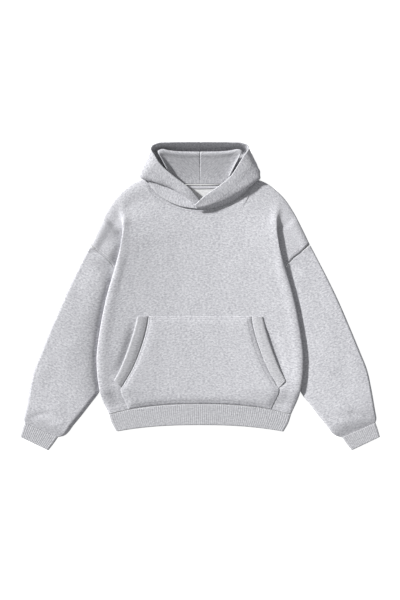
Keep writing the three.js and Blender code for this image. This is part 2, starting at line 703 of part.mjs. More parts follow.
// Rib band along a pocket opening, its ribs across it
function pocketBand(side) {
  const middle = [];
  for (let r = 0; r <= BAND_ROWS; r += 1) {
    const { inX, inY, outX, outY } = tableRow(BAND, r / BAND_ROWS);
    const across = [0.07, 0.35, 0.7, 1].map((share) => {
      const x = mix(inX, outX, share);
      const y = mix(inY, outY, share);
      return new THREE.Vector3(x * side, y, onFront(x, y, BAND_LIFT, BAND_WALL));
    });
    middle.push(across);
  }
  const level = (shift, rise) => middle.map((row, r) => row.map((point) => (
    point.clone().add(new THREE.Vector3(0, 0, shift + (r % 2 === 1 ? rise : 0)))
  )));
  return wallGeometry(level(BAND_WALL / 2, RIB_RISE), level(-BAND_WALL / 2, 0), false);
}

// Place on the neckline: 0 centre front, 1 high shoulder, 2 centre back
function necklinePlace(share) {
  if (share <= 0) return new THREE.Vector3(share * NECK_OVERLAP_LENGTH, FRONT_NECKLINE[0].y, 0);
  if (share <= 1) return frontNeckline.getPointAt(share);
  return backNeckline.getPointAt(Math.min(1, 2 - share));
}

// Half of the hood, from its foot at the neck seam, over the flap, to the edge of the opening
function hoodHalf(table, side) {
  const grid = [];
  for (let r = 0; r <= HOOD_ROWS; r += 1) {
    const row = tableRow(table, r / HOOD_ROWS);
    const neck = necklinePlace(row.neck);
    const fold = new THREE.Vector3(row.foldX, row.foldY, row.foldZ);
    const edge = new THREE.Vector3(row.edgeX, row.edgeY, row.edgeZ);
    const back = smooth(1, 1.15, row.neck);
    neck.y += mix(-2.5, 2.8, back);
    neck.z = row.foot;
    const inward = edge.clone().sub(neck).setZ(0).normalize();
    const base = neck.clone().addScaledVector(inward, row.base);
    base.z += mix(1.5, 0, back);
    const crest = fold.clone().lerp(edge, 0.5);
    crest.z += FLAP_CREST * smooth(0, 0.35, row.neck) * (1 - smooth(1.2, 1.5, row.neck));
    const path = new THREE.CatmullRomCurve3([neck, base, fold, crest, edge], false, 'centripetal');
    grid.push(path.getSpacedPoints(HOOD_COLUMNS).map((point) => (
      new THREE.Vector3(point.x * side, point.y, point.z)
    )));
  }
  const soft = relaxed(grid);
  soft[HOOD_ROWS].forEach((point) => { point.x = SEAM_GAP / 2 * side; });
  return sheetWall(soft, DOUBLE_HOOD);
}

// Inside back of the hood on one side of its centre seam
function hoodInside(side) {
  const grid = [];
  for (let r = 0; r <= LINING_ROWS; r += 1) {
    const row = tableRow(HOOD_INSIDE, r / LINING_ROWS);
    const neck = new THREE.Vector3(row.neckX, row.neckY, INSIDE_FOOT_Z);
    const ridge = new THREE.Vector3(row.ridgeX, row.ridgeY, row.ridgeZ);
    const line = [];
    for (let c = 0; c < LINING_COLUMNS; c += 1) {
      const share = c / (LINING_COLUMNS - 1);
      const point = neck.clone().lerp(ridge, share);
      point.z = mix(neck.z, ridge.z, share ** 1.5);
      line.push(point);
    }
    const outward = ridge.clone().sub(neck).setZ(0).normalize();
    line.push(ridge.clone().addScaledVector(outward, 3).add(new THREE.Vector3(0, 0, -1.2)));
    line.push(ridge.clone().addScaledVector(outward, 4).add(new THREE.Vector3(0, 0, -6)));
    grid.push(line.map((point) => new THREE.Vector3(point.x * side, point.y, point.z)));
  }
  grid[LINING_ROWS].forEach((point) => { point.x = SEAM_GAP / 2 * side; });
  return sheetWall(grid, LINING);
}

// Tape on the inside of the back, along its neckline
function neckTape() {
  const width = 9;
  const columns = 12;
  const rows = [-width, 0].map((shift) => {
    const row = [];
    for (let c = 0; c <= columns; c += 1) {
      const share = mix(-0.62, 0.62, c / columns);
      const point = backNeckline.getPointAt(Math.abs(share));
      row.push(new THREE.Vector3(point.x * Math.sign(share), point.y + shift - 2, FLEECE + SEAM_GAP));
    }
    return row;
  });
  const raised = rows.map((row) => row.map((point) => point.clone().setZ(point.z + TAPE)));
  return wallGeometry(raised, rows, false);
}

function cloth(color, roughness = 0.95) {
  return new THREE.MeshStandardMaterial({ color, roughness, metalness: 0 });
}

const hoodie = new THREE.Group();

function addPiece(name, geometry, material) {
  const mesh = new THREE.Mesh(geometry, material);
  mesh.name = name;
  hoodie.add(mesh);
}

addPiece('body_front', bodyFront(), cloth(MELANGE));
addPiece('body_back', bodyBack(), cloth(MELANGE));
addPiece('pocket', pocket(), cloth(MELANGE));
addPiece('hem_rib', hemRib(), cloth(RIB_GREY));
addPiece('neck_tape', neckTape(), cloth(TAPE_GREY));
for (const [name, side, table] of [['left', -1, HOOD_LEFT], ['right', 1, HOOD_RIGHT]]) {
  addPiece(`pocket_band_${name}`, pocketBand(side), cloth(RIB_GREY));
  addPiece(`sleeve_${name}`, sleeve(side), cloth(MELANGE));
  addPiece(`cuff_${name}`, cuff(side), cloth(RIB_GREY));
  addPiece(`hood_${name}`, hoodHalf(table, side), cloth(MELANGE));
  addPiece(`hood_lining_${name}`, hoodInside(side), cloth(MELANGE_INSIDE));
}

export default hoodie;
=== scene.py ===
import math

import bpy
import numpy as np
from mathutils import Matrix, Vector
from mathutils.bvhtree import BVHTree


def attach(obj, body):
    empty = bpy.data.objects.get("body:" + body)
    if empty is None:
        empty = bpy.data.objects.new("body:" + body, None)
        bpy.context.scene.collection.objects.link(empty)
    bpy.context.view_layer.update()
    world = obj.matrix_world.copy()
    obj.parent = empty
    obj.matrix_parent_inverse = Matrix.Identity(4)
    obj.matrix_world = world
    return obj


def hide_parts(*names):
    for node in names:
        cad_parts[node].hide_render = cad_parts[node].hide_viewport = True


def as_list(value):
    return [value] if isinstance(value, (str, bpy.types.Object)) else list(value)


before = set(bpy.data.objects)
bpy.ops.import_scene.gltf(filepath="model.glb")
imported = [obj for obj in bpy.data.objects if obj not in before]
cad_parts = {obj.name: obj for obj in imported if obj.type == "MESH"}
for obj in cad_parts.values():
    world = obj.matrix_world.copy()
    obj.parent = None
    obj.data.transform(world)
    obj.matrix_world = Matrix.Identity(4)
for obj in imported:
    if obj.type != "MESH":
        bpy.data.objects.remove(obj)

bl_info = {
    "name": "Hoodie Laid Flat",
    "version": (1, 0, 0),
    "blender": (4, 5, 0),
    "location": "View3D > Sidebar > Hoodie",
    "description": "Makes a pullover hoodie laid flat: fleece panels, rib knit, hood and stitching",
    "category": "Add Mesh",
}

# The tables hold millimetres in the garment's own frame: +X to the viewer's right, +Y to the hood.
MM = 0.001
BODY = "root"
SIDES = (("left", -1), ("right", 1))
MIRROR = np.array([-1, 1, 1])

# How the layers lie on each other
EDGE_HEIGHT = 7.6
CENTRE_HEIGHT = 8.0
THIRD_LAYER_Z = 6.6
TUCK_RADIUS = 2.1
FOLD_RADIUS = 4.2
FOLD_ROLL = 2.4
# Height and reach of the rise out of the valley beside the body, left (-1) and right (1), the share
# of the gentle one that is left at the shoulder, and the share of both at the outer edge
STEEP_RISE = {-1: (8, 7), 1: (1.5, 15)}
GENTLE_RISE = {-1: (11, 42), 1: (9, 110)}
SHOULDER_SHARE = 0.25
LOFT_KEPT = 0.85
LOFT_FADE = (0.8, 1)
GENTLE_FADE_Y = (-60, 110)
LOFT_END_Y = (215, 290)
SLEEVE_LOFT_END = (0.72, 1)
SIDE_LIFT_Y = (-322, -262)
SHOULDER_ROLL_X = (120, 158)
SEAM_GAP = 0.3
CENTRE_GAP = 0.03
CENTRE_GROOVE = 0.9


def named_rows(columns, rows):
    return [dict(zip(columns, row)) for row in rows]


WIDTH_COLUMNS = ("y", "x")
PLAN_COLUMNS = ("x", "y")
ENDS_COLUMNS = ("in_x", "in_y", "out_x", "out_y")
HEM_COLUMNS = ("half", "centre", "corner")

# Side fold of the front, which bounds the body in view
BODY_EDGE = named_rows(WIDTH_COLUMNS, (
    (-342, 264), (-310, 279), (-276, 290), (-237, 296), (-194, 299), (-153, 297), (-78, 286), (4, 269),
    (88, 245), (154, 229), (209, 221), (238, 225), (288, 240),
))
# How far in the front reaches under its own side fold, above the armpit
TUCK = named_rows(WIDTH_COLUMNS, (
    (-98, 214), (-60, 206), (30, 210), (115, 210), (160, 204), (205, 203), (260, 214), (288, 236),
))
FOLD_FADE = (165, 280)
SIDE_SEAM = named_rows(WIDTH_COLUMNS, (
    (-342, 252), (-300, 254), (-250, 248), (-194, 233), (-130, 215), (-98, 212),
))
SIDE_SEAM_ROWS = (-342, -322, -300, -276, -248, -212, -172, -132)
ARMPIT_Y = -98
ARMPIT_SEAM_X = 213
CENTRE_AT_ARMPIT_Y = -96
ARMHOLE = named_rows(PLAN_COLUMNS, (
    (226, -98), (229, -50), (234, 10), (243, 72), (262, 100), (293, 127), (319, 148),
))
SHOULDER = named_rows(PLAN_COLUMNS, (
    (150, 338), (172, 336), (207, 317), (240, 288), (272, 242), (293, 202), (319, 148),
))
FRONT_NECKLINE = named_rows(PLAN_COLUMNS, (
    (0, 256), (44, 260), (84, 273), (114, 290), (137, 311), (150, 338),
))
BACK_NECKLINE = named_rows(PLAN_COLUMNS, ((0, 322), (75, 325), (150, 338)))

# Sleeve and cuff, a row for each section from the armhole down
SLEEVE = named_rows(ENDS_COLUMNS, (
    (226, -98, 319, 148), (240, -135, 340, 108), (257, -182, 368, 54), (274, -232, 400, -12),
    (292, -278, 432, -86), (316, -311, 462, -158), (343, -346, 484, -214), (366, -374, 496, -268),
    (380, -393, 506, -325), (394, -404, 511, -353), (411, -408, 508, -366),
))
CUFF = named_rows(ENDS_COLUMNS, ((411, -408, 508, -366), (424, -427, 515, -386), (439, -446, 521, -407)))

# Hem rib: its seam and its lower edge both dip towards the sides
HEM = named_rows(HEM_COLUMNS, ((264, -312, -342), (256, -342, -367), (242, -373, -392)))
HEM_DIP = 2.4
SLEEVE_GRAIN = 24
CUFF_WIDTH = 106
HEM_PRESS = 1.4
HEM_PRESS_REACH = 26
HEM_PRESS_END_X = (196, 226)

POCKET_EDGE = named_rows(WIDTH_COLUMNS, (
    (-330, 208), (-272, 229), (-258, 221), (-213, 195), (-157, 172), (-104, 156), (-58, 148),
))
POCKET_FOOT = -330
POCKET_TOP = -58
POCKET_LIFT = 1.2
POCKET_FREE_REACH = (-2, 30)
POCKET_THIN_REACH = (-2, 18)
POCKET_GRID = (96, 141)
BAND_GRID = (221, 12)
BAND = named_rows(ENDS_COLUMNS, (
    (148, -58, 182, -60), (156, -104, 191, -98), (172, -157, 208, -151), (195, -213, 228, -203),
    (227, -265, 248, -243),
))
BAND_LIFT = 0.5
BAND_GAPE = 1.2
BAND_WALL = 2.6
BAND_LENGTH = 210

HOOD_FRONT_OVERLAP = 175
# Hood halves, a row for each section from the crossing at the front round to the centre back:
# place on the neckline, run of the foot, its height, low outer fold of the flap, opening's edge
HOOD_COLUMNS = ("neck", "base", "foot", "fold_x", "fold_y", "fold_z", "edge_x", "edge_y", "edge_z")
HOOD_BACK_ROWS = (
    (1.45, 48, 2.6, 137, 421, 10, 137, 434, 32),
    (1.62, 56, 2.6, 108, 430, 9, 116, 442, 31),
    (1.8, 60, 2.6, 56, 431, 9, 60, 444, 30),
    (2.0, 60, 2.6, 0, 431, 9, 0, 444.4, 30),
)
HOOD_RIGHT = (
    (-0.07, 2, 18, -13, 259, 22, -14, 264, 24),
    (0.08, 3, 17, 13, 258, 21, -1, 277, 26),
    (0.2, 4, 11, 34, 263, 18, 19, 294, 26),
    (0.37, 5, 10.4, 64, 272, 16.5, 46, 312, 26),
    (0.55, 5, 10.4, 92, 287, 17, 77, 336, 27),
    (0.73, 6, 10.4, 122, 304, 17.5, 93, 352, 29),
    (0.88, 6, 10.4, 151, 322, 17.5, 112, 382, 32),
    (1.0, 8, 10.4, 179, 342, 16, 122, 398, 34),
    (1.14, 14, 5, 171, 366, 14, 130, 411, 35),
    (1.3, 34, 2.6, 158, 394, 12, 139, 423, 34),
) + HOOD_BACK_ROWS
HOOD_LEFT = (
    (-0.05, 3, 10.4, -10, 263, 11.5, -10, 269, 12.5),
    (0.08, 8, 10.4, 12, 270, 13.5, 3, 278, 15),
    (0.2, 24, 10.4, 34, 283, 17, 17, 298, 21),
    (0.37, 36, 10.4, 55, 297, 18, 32, 313, 25),
    (0.55, 42, 10.4, 84, 314, 18, 55, 331, 27),
    (0.73, 36, 10.4, 114, 324, 18, 89, 357, 30),
    (0.88, 22, 10.4, 146, 333, 17.5, 113, 380, 33),
    (1.0, 10, 10.4, 178, 345, 16.5, 124, 395, 35),
    (1.14, 14, 5, 172, 366, 14, 131, 408, 35),
    (1.3, 34, 2.6, 159, 394, 12, 140, 422, 34),
) + HOOD_BACK_ROWS
FLAP_CREST = 2
GROOVE_START_Y = (400, 430)
GROOVE_HALF_WIDTH = 4
LOWEST_Z = 0.1
HOOD_WALL = 4.0

HOOD_HALVES = (("left", -1, HOOD_LEFT), ("right", 1, HOOD_RIGHT))

# Inside back of the hood, from the neck tape up to the fold that stands behind the opening
INSIDE_COLUMNS = ("neck_x", "neck_y", "ridge_x", "ridge_y", "ridge_z")
HOOD_INSIDE = (
    (92, 322, 84, 345, 21),
    (84, 322, 95, 368, 25),
    (74, 323, 107, 391, 28),
    (60, 324, 119, 414, 29),
    (44, 324, 104, 420, 28),
    (28, 324, 80, 415, 26),
    (14, 324, 42, 413, 24),
    (0, 324, 0, 412.5, 23),
)
INSIDE_FOOT_Z = 6.4
LINING = 2.2
TAPE = 1.2
TAPE_WIDTH = 0.012
TAPE_END = 0.62

# Lines of stitches: how far in from the seam or the edge that each follows
NECK_STITCHES = (5.5, 11.0)
HEM_STITCHES = (6.0, 11.0)
POCKET_TOP_STITCHES = (2.5, 9.5)
POCKET_SIDE_STITCHES = (3.0, 12.0)
ARMHOLE_STITCHES = (4.0, 10.0)
HOOD_STITCH = 33
# Where the lines of stitches end
HEM_STITCH_X = 262
POCKET_STITCH_X = 146
POCKET_STITCH_FOOT = -268
ARMHOLE_STITCH_TOP = 135

# Soft creases: a line from one end to the other, its width and its height,
# below zero for a trough
CREASE_COLUMNS = ("x0", "y0", "x1", "y1", "width", "rise")
CREASE_HEM_Y = (-318, -290)
CREASE_SIDE_SHARE = (0.86, 1.0)
CREASE_NECK_Y = (225, 256)
SOFT_WAVES = (60, 150)
SOFT_COUNT = 9
FRONT_CREASES = (
    (-150, 170, -120, 20, 40, -0.5),
    (-60, 120, -50, -30, 30, -0.5),
    (-20, 60, 30, -120, 46, 0.4),
    (90, 130, 110, -20, 40, 0.5),
    (-190, -80, -238, -226, 15, -5.0),
    (190, -88, 242, -226, 14, -2.6),
    (-120, -110, -110, -270, 26, -0.5),
    (40, -150, 70, -290, 34, -0.5),
    (-262, -230, -215, -300, 16, 0.7),
    (262, -235, 214, -305, 15, 0.8),
)
SLEEVE_CREASES = (
    (330, 20, 360, -60, 24, -0.6),
    (350, -120, 395, -190, 30, 0.6),
    (390, -215, 440, -262, 26, -0.8),
    (390, -318, 440, -330, 16, 0.9),
    (425, -338, 490, -352, 9, -1.5),
    (440, -170, 470, -250, 26, 0.6),
    (385, -368, 430, -372, 9, 0.9),
)


def smooth(low, high, value):
    """Soft step from 0 to 1 between two values."""
    part = np.clip((np.asarray(value, float) - low) / (high - low), 0, 1)
    return part * part * (3 - 2 * part)


def mix(a, b, part):
    return a + (b - a) * part


def table_row(table, share):
    """Curve through a table's columns, read at 0 to 1 over its rows, for one share or many."""
    last = len(table) - 1
    place = np.clip(np.asarray(share, float), 0, 1) * last
    low = np.minimum(place.astype(int), last - 1)
    part = place - low
    row = {}
    for name in table[0]:
        column = np.array([entry[name] for entry in table], float)
        before = column[np.maximum(low - 1, 0)]
        start, end = column[low], column[low + 1]
        after = column[np.minimum(low + 2, last)]
        start_slope, end_slope = (end - before) / 2, (after - start) / 2
        a = 2 * start - 2 * end + start_slope + end_slope
        b = 3 * end - 3 * start - 2 * start_slope - end_slope
        row[name] = ((a * part + b) * part + start_slope) * part + start
    return row


def width_at(table, y):
    """Width at a height, from a table of y and x."""
    heights = [entry["y"] for entry in table]
    place = np.interp(y, heights, np.arange(len(table)))
    return table_row(table, place / (len(table) - 1))["x"]


def counts_for(grid, axis, step):
    """Number of steps in each interval of a grid's axis, for steps of about a given length."""
    spans = np.linalg.norm(np.diff(grid, axis=axis), axis=-1)
    spans = spans.mean(axis=1 - axis) if spans.ndim == 2 else spans
    return np.maximum(1, np.round(spans / step)).astype(int)


def subdivided(grid, axis, counts):
    """Smooth curves along one axis of a grid, with its own points kept and steps set in between."""
    grid = np.moveaxis(np.asarray(grid, float), axis, 0)
    span = np.maximum(np.linalg.norm(np.diff(grid, axis=0), axis=-1, keepdims=True), 0.05)
    secant = np.diff(grid, axis=0) / span
    slope = np.concatenate([secant[:1], secant[1:], secant[-1:]])
    slope[1:-1] = (span[1:] * secant[:-1] + span[:-1] * secant[1:]) / (span[:-1] + span[1:])
    low = np.append(np.repeat(np.arange(len(counts)), counts), len(counts) - 1)
    part = np.append(np.concatenate([np.arange(count) / count for count in counts]), 1.0)
    part = part.reshape((-1,) + (1,) * (grid.ndim - 1))
    start, end, width = grid[low], grid[low + 1], span[low]
    out = (1 + 2 * part) * (1 - part) ** 2 * start + part ** 2 * (3 - 2 * part) * end
    out += part * (1 - part) ** 2 * width * slope[low] + part ** 2 * (part - 1) * width * slope[low + 1]
    return np.moveaxis(out, 0, axis)


def refined(grid, row_step, column_step):
    """The same sheet with more rows and columns."""
    grid = subdivided(grid, 0, counts_for(grid, 0, row_step))
    return subdivided(grid, 1, counts_for(grid, 1, column_step))


def even_curve(points, count):
    """Evenly spaced points on a smooth curve through a few, and its length."""
    points = np.array(points, float)
    dense = subdivided(points, 0, np.full(len(points) - 1, 60))
    length = np.concatenate([[0], np.cumsum(np.linalg.norm(np.diff(dense, axis=0), axis=1))])
    even = np.linspace(0, length[-1], count)
    return np.stack([np.interp(even, length, dense[:, i]) for i in range(3)], axis=1), length[-1]


def plan_curve(table):
    """Curve in plan through a table of x and y, read by its share of length."""
    line, length = even_curve([(entry["x"], entry["y"], 0) for entry in table], 600)
    places = np.linspace(0, 1, 600)

    def at(share):
        share = np.clip(np.asarray(share, float), 0, 1)
        return np.stack([np.interp(share, places, line[:, i]) for i in range(3)], axis=-1)

    return at, length


armhole, ARMHOLE_LENGTH = plan_curve(ARMHOLE)
shoulder, _ = plan_curve(SHOULDER)
front_neckline, _ = plan_curve(FRONT_NECKLINE)
back_neckline, _ = plan_curve(BACK_NECKLINE)


def crease_height(rows, x, y):
    """Height that the listed creases add at a place in plan."""
    height = np.zeros(np.broadcast(x, y).shape)
    for crease in named_rows(CREASE_COLUMNS, rows):
        ax, ay = crease["x1"] - crease["x0"], crease["y1"] - crease["y0"]
        length = math.hypot(ax, ay)
        along = ((x - crease["x0"]) * ax + (y - crease["y0"]) * ay) / length
        across = ((x - crease["x0"]) * ay - (y - crease["y0"]) * ax) / length
        bend = across + 0.05 * length * np.sin(np.pi * along / length)
        ends = smooth(-0.15 * length, 0.3 * length, along)
        ends *= 1 - smooth(0.7 * length, 1.15 * length, along)
        height += crease["rise"] * ends * np.exp(-((bend / crease["width"]) ** 2))
    return height


def softness(x, y, seed):
    """Broad, low unevenness of cloth that isn't pressed."""
    rng = np.random.default_rng(seed)
    height = np.zeros(np.broadcast(x, y).shape)
    for _ in range(SOFT_COUNT):
        angle, wave, phase = rng.uniform(0, math.pi), rng.uniform(*SOFT_WAVES), rng.uniform(0, 6.28)
        height += np.sin((x * math.cos(angle) + y * math.sin(angle)) * 6.283 / wave + phase)
    return height / SOFT_COUNT


def body_edge(y):
    return width_at(BODY_EDGE, y)


def fold_share(y):
    return 1 - smooth(*FOLD_FADE, y)


def side_lift(y):
    return smooth(*SIDE_LIFT_Y, y)


def hem_seam_y(x):
    return mix(HEM[0]["centre"], HEM[0]["corner"], (np.abs(x) / HEM[0]["half"]) ** HEM_DIP)


class Layers:
    """Heights of the stacked layers, worked out from the cloth's thickness."""

    def __init__(self, fleece):
        self.fleece = fleece
        self.return_z = THIRD_LAYER_Z + 2 * TUCK_RADIUS
        self.fold_top = self.return_z + 2 * FOLD_RADIUS
        self.front = CENTRE_HEIGHT - fleece / 2
        self.shoulder = EDGE_HEIGHT - fleece / 2
        self.roll = self.shoulder - fleece - 2 * SEAM_GAP

    def front_height(self, x, y):
        """Middle of the front's top layer."""
        share = np.abs(x) / body_edge(y)
        lifted = (self.fold_top - self.front) * share ** 2
        rest = (self.shoulder - self.front) * share
        return self.front + mix(rest, lifted, fold_share(y) * side_lift(y))

    def creased_height(self, x, y):
        """The same with the creases, which fade out at the hem and at the side fold."""
        share = np.abs(x) / body_edge(y)
        fade = smooth(*CREASE_HEM_Y, y) * (1 - smooth(*CREASE_SIDE_SHARE, share))
        fade *= 1 - smooth(*CREASE_NECK_Y, y)
        creases = crease_height(FRONT_CREASES, x, y) + 0.3 * softness(x, y, 4)
        return self.front_height(x, y) + creases * fade - HEM_PRESS * self.hem_press(x, y)

    @staticmethod
    def hem_press(x, y):
        """Share by which the front is pressed down where the pocket joins the hem seam."""
        near = 1 - smooth(0, HEM_PRESS_REACH, y - hem_seam_y(x))
        return near * (1 - smooth(*HEM_PRESS_END_X, np.abs(x)))

    @staticmethod
    def loft(x, y, side):
        """Rise of the shoulder and sleeve out of the valley beside the body's fold."""
        away = np.maximum(x - body_edge(y), 0)
        steep, gentle = (rise * (1 - np.exp(-away / reach))
                         for rise, reach in (STEEP_RISE[side], GENTLE_RISE[side]))
        gentle *= 1 - (1 - SHOULDER_SHARE) * smooth(*GENTLE_FADE_Y, y)
        return (steep + gentle) * (1 - smooth(*LOFT_END_Y, y))


TOP_COLUMNS = 8
BESIDE_COLUMNS = 12
ARMHOLE_STATIONS = 9
BODY_ROWS = len(SIDE_SEAM_ROWS) + ARMHOLE_STATIONS
SHOULDER_AT_FOLD = 0.42
SHOULDER_END = 0.985
TOP_ROW_Y = 288
# How many steps each row and column of the front's first grid is cut into
FRONT_ROW_COUNTS = [6] * len(SIDE_SEAM_ROWS) + [10] * ARMHOLE_STATIONS + [1] * 3
FRONT_COLUMN_COUNTS = [8] * TOP_COLUMNS + [1, 1, 1, 1, 4, 4, 1, 1, 1] + [1] * BESIDE_COLUMNS


def seam_rise(row):
    return max(0, (row - len(SIDE_SEAM_ROWS)) / ARMHOLE_STATIONS)


def row_heights(row):
    """Heights of a front row at the centre and at the side fold."""
    rise = seam_rise(row)
    if row < len(SIDE_SEAM_ROWS):
        y = SIDE_SEAM_ROWS[row]
        share = (y - SIDE_SEAM_ROWS[0]) / (ARMPIT_Y - SIDE_SEAM_ROWS[0])
        return mix(HEM[0]["centre"], CENTRE_AT_ARMPIT_Y, share), y
    centre = mix(CENTRE_AT_ARMPIT_Y, FRONT_NECKLINE[0]["y"], rise)
    return centre, mix(ARMPIT_Y, TOP_ROW_Y, rise)


def seam_point(row, edge):
    """Seam that a body row ends at: the side seam, then the armhole."""
    if row < len(SIDE_SEAM_ROWS):
        y = SIDE_SEAM_ROWS[row]
        return np.array([float(width_at(SIDE_SEAM, y)) + edge, y, 0])
    share = (row - len(SIDE_SEAM_ROWS)) / ARMHOLE_STATIONS
    inset = EDGE_HEIGHT / 2 / ARMHOLE_LENGTH
    place = inset + share * (1 - 2 * inset)
    tangent = armhole(place + 0.01) - armhole(place - 0.01)
    tangent /= np.linalg.norm(tangent)
    return armhole(place) + np.array([-tangent[1], tangent[0], 0]) * -edge


def front_top_edge(column):
    neck_columns = 5
    if column <= neck_columns:
        return front_neckline(column / neck_columns)
    return shoulder(SHOULDER_AT_FOLD * (column - neck_columns) / (TOP_COLUMNS - neck_columns))


def folded_path(row, fold_y, layers):
    """Under part of a front row: round the side fold, back in, round the tuck and out to the seam."""
    edge = float(body_edge(fold_y))
    above = row > len(SIDE_SEAM_ROWS)
    top = float(layers.front_height(edge, min(fold_y, FOLD_FADE[0])))
    seam = seam_point(row, -SEAM_GAP * 1.5 if above else SEAM_GAP * 1.5)
    floor_z = layers.fleece / 2
    back_z = layers.return_z if above else mix(floor_z, layers.return_z, float(side_lift(fold_y)))
    radius = (top - back_z) / 2
    return_x = edge - layers.fleece / 2 - FOLD_ROLL
    points = []
    for degrees in (60, 0, -60):
        angle = math.radians(degrees)
        height = back_z + radius * (1 + math.sin(angle))
        points.append((return_x + FOLD_ROLL * math.cos(angle), fold_y, height))
    if above:
        tuck = float(width_at(TUCK, fold_y))
        points.append((return_x, fold_y, layers.return_z))
        points.append(((return_x + tuck) / 2, fold_y, layers.return_z))
        for degrees in (90, 150, 210, 270):
            angle = math.radians(degrees)
            x = tuck + TUCK_RADIUS * (1 + math.cos(angle))
            points.append((x, fold_y, layers.return_z - TUCK_RADIUS * (1 - math.sin(angle))))
        start, end = np.array(points[-1]), np.array([seam[0], seam[1], THIRD_LAYER_Z])
        shares = np.linspace(0, 1, BESIDE_COLUMNS + 1)[1:]
        points += [tuple(mix(start, end, share)) for share in shares]
        return np.array(points, float)
    seam_z = floor_z if row < 2 else layers.fleece * 1.5 + SEAM_GAP * 2
    end_x = ARMPIT_SEAM_X if row == len(SIDE_SEAM_ROWS) else seam[0]
    for share in np.linspace(0, 1, BESIDE_COLUMNS + 6):
        z = mix(seam_z, back_z, 1 - float(smooth(0.78, 1, share)))
        points.append((mix(return_x, end_x, share), fold_y, z))
    return np.array(points, float)


def front_half_row(row, layers, side):
    """Half of a front row, from the centre out to the seam."""
    centre_y, fold_y = row_heights(row)
    rise = seam_rise(row)
    edge = float(body_edge(fold_y)) - layers.fleece / 2 - FOLD_ROLL
    top_edge = float(body_edge(TOP_ROW_Y)) - layers.fleece / 2 - FOLD_ROLL
    half = []
    for column in range(TOP_COLUMNS + 1):
        share = column / TOP_COLUMNS
        point = np.array([edge * share, mix(centre_y, fold_y, share ** HEM_DIP), 0.0])
        top_y = mix(FRONT_NECKLINE[0]["y"], TOP_ROW_Y, share ** HEM_DIP)
        top_row = np.array([top_edge * share, top_y, 0.0])
        point += (front_top_edge(column) - top_row) * rise ** 3
        point[2] = layers.front_height(point[0], min(point[1], fold_y + 20))
        half.append(point)
    folded = folded_path(row, fold_y, layers)
    if row > len(SIDE_SEAM_ROWS):
        share = (np.arange(len(folded)) + 1) / len(folded)
        flat = mix(half[-1], seam_point(row, -SEAM_GAP * 1.5), share[:, None])
        if row == BODY_ROWS:
            flat = shoulder(mix(SHOULDER_AT_FOLD, SHOULDER_END, share))
        flat[:, 2] = mix(layers.shoulder, THIRD_LAYER_Z, share)
        folded = mix(flat, folded, float(fold_share(fold_y)))
        beside = folded[-BESIDE_COLUMNS:]
        kept = 1 - (1 - LOFT_KEPT) * smooth(*LOFT_FADE, rise)
        beside[:, 2] += layers.loft(beside[:, 0], beside[:, 1], side) * kept
    whole = np.vstack([np.array(half), folded])
    if row == 0:
        whole[:, 1] = hem_seam_y(whole[:, 0])
    return whole


def outward_of(line):
    """Directions to the left of a line in plan."""
    tangent = np.gradient(line, axis=0)
    tangent[:, 2] = 0
    tangent /= np.linalg.norm(tangent, axis=1, keepdims=True)
    return np.stack([-tangent[:, 1], tangent[:, 0], np.zeros(len(line))], axis=1)


def shoulder_out(line):
    """Outward directions along the shoulder, turned along the armhole seam at its end."""
    out = outward_of(line)
    seam = armhole(1) - armhole(0.97)
    seam = seam / (seam * out[-1]).sum()
    return mix(out, seam, smooth(0.7, 1, np.linspace(0, 1, len(line)))[:, None])


def shoulder_roll(line, raised, degrees, layers):
    """Row that turns the shoulder edge down onto the back, and leaves the neckline as it is."""
    angle = math.radians(degrees)
    roll = smooth(*SHOULDER_ROLL_X, line[:, 0])
    reach = mix(layers.roll * angle, layers.roll * math.sin(angle), roll) * mix(0.35, 1, roll)
    rolled = line + shoulder_out(line) * reach[:, None]
    rolled[:, 2] -= (layers.roll + raised) * (1 - math.cos(angle)) * roll
    return rolled


def both_halves(left, right):
    """Whole grid from its two halves, both given on the +X side from the centre line outwards."""
    return np.concatenate([left[:, :0:-1] * MIRROR, right], axis=1)


def front_half(layers, side):
    """Half of the front as a fine grid, and the columns of its first grid that the fine ones lie at."""
    rows = [front_half_row(row, layers, side) for row in range(BODY_ROWS + 1)]
    raised = np.zeros(len(rows[-1]))
    raised[-BESIDE_COLUMNS:] = LOFT_KEPT * layers.loft(*rows[-1][-BESIDE_COLUMNS:, :2].T, side)
    rows[-1] = rows[-1] - shoulder_out(rows[-1]) * (layers.roll + layers.fleece / 2)
    rows += [shoulder_roll(rows[-1], raised, degrees, layers) for degrees in (30, 60, 90)]
    half = np.array(rows)
    half = subdivided(half, 0, FRONT_ROW_COUNTS)
    half = subdivided(half, 1, FRONT_COLUMN_COUNTS)
    places = np.append(0, np.cumsum(FRONT_COLUMN_COUNTS))
    return half, np.interp(np.arange(half.shape[1]), places, np.arange(len(places)))


def front_grid(layers):
    left, _ = front_half(layers, -1)
    right, column = front_half(layers, 1)
    top = 1 - smooth(TOP_COLUMNS - 0.4, TOP_COLUMNS, column)
    whole, weight = both_halves(left, right), np.concatenate([top[:0:-1], top])
    x, y = whole[..., 0], whole[..., 1]
    whole[..., 2] += (layers.creased_height(x, y) - layers.front_height(x, y)) * weight
    return whole


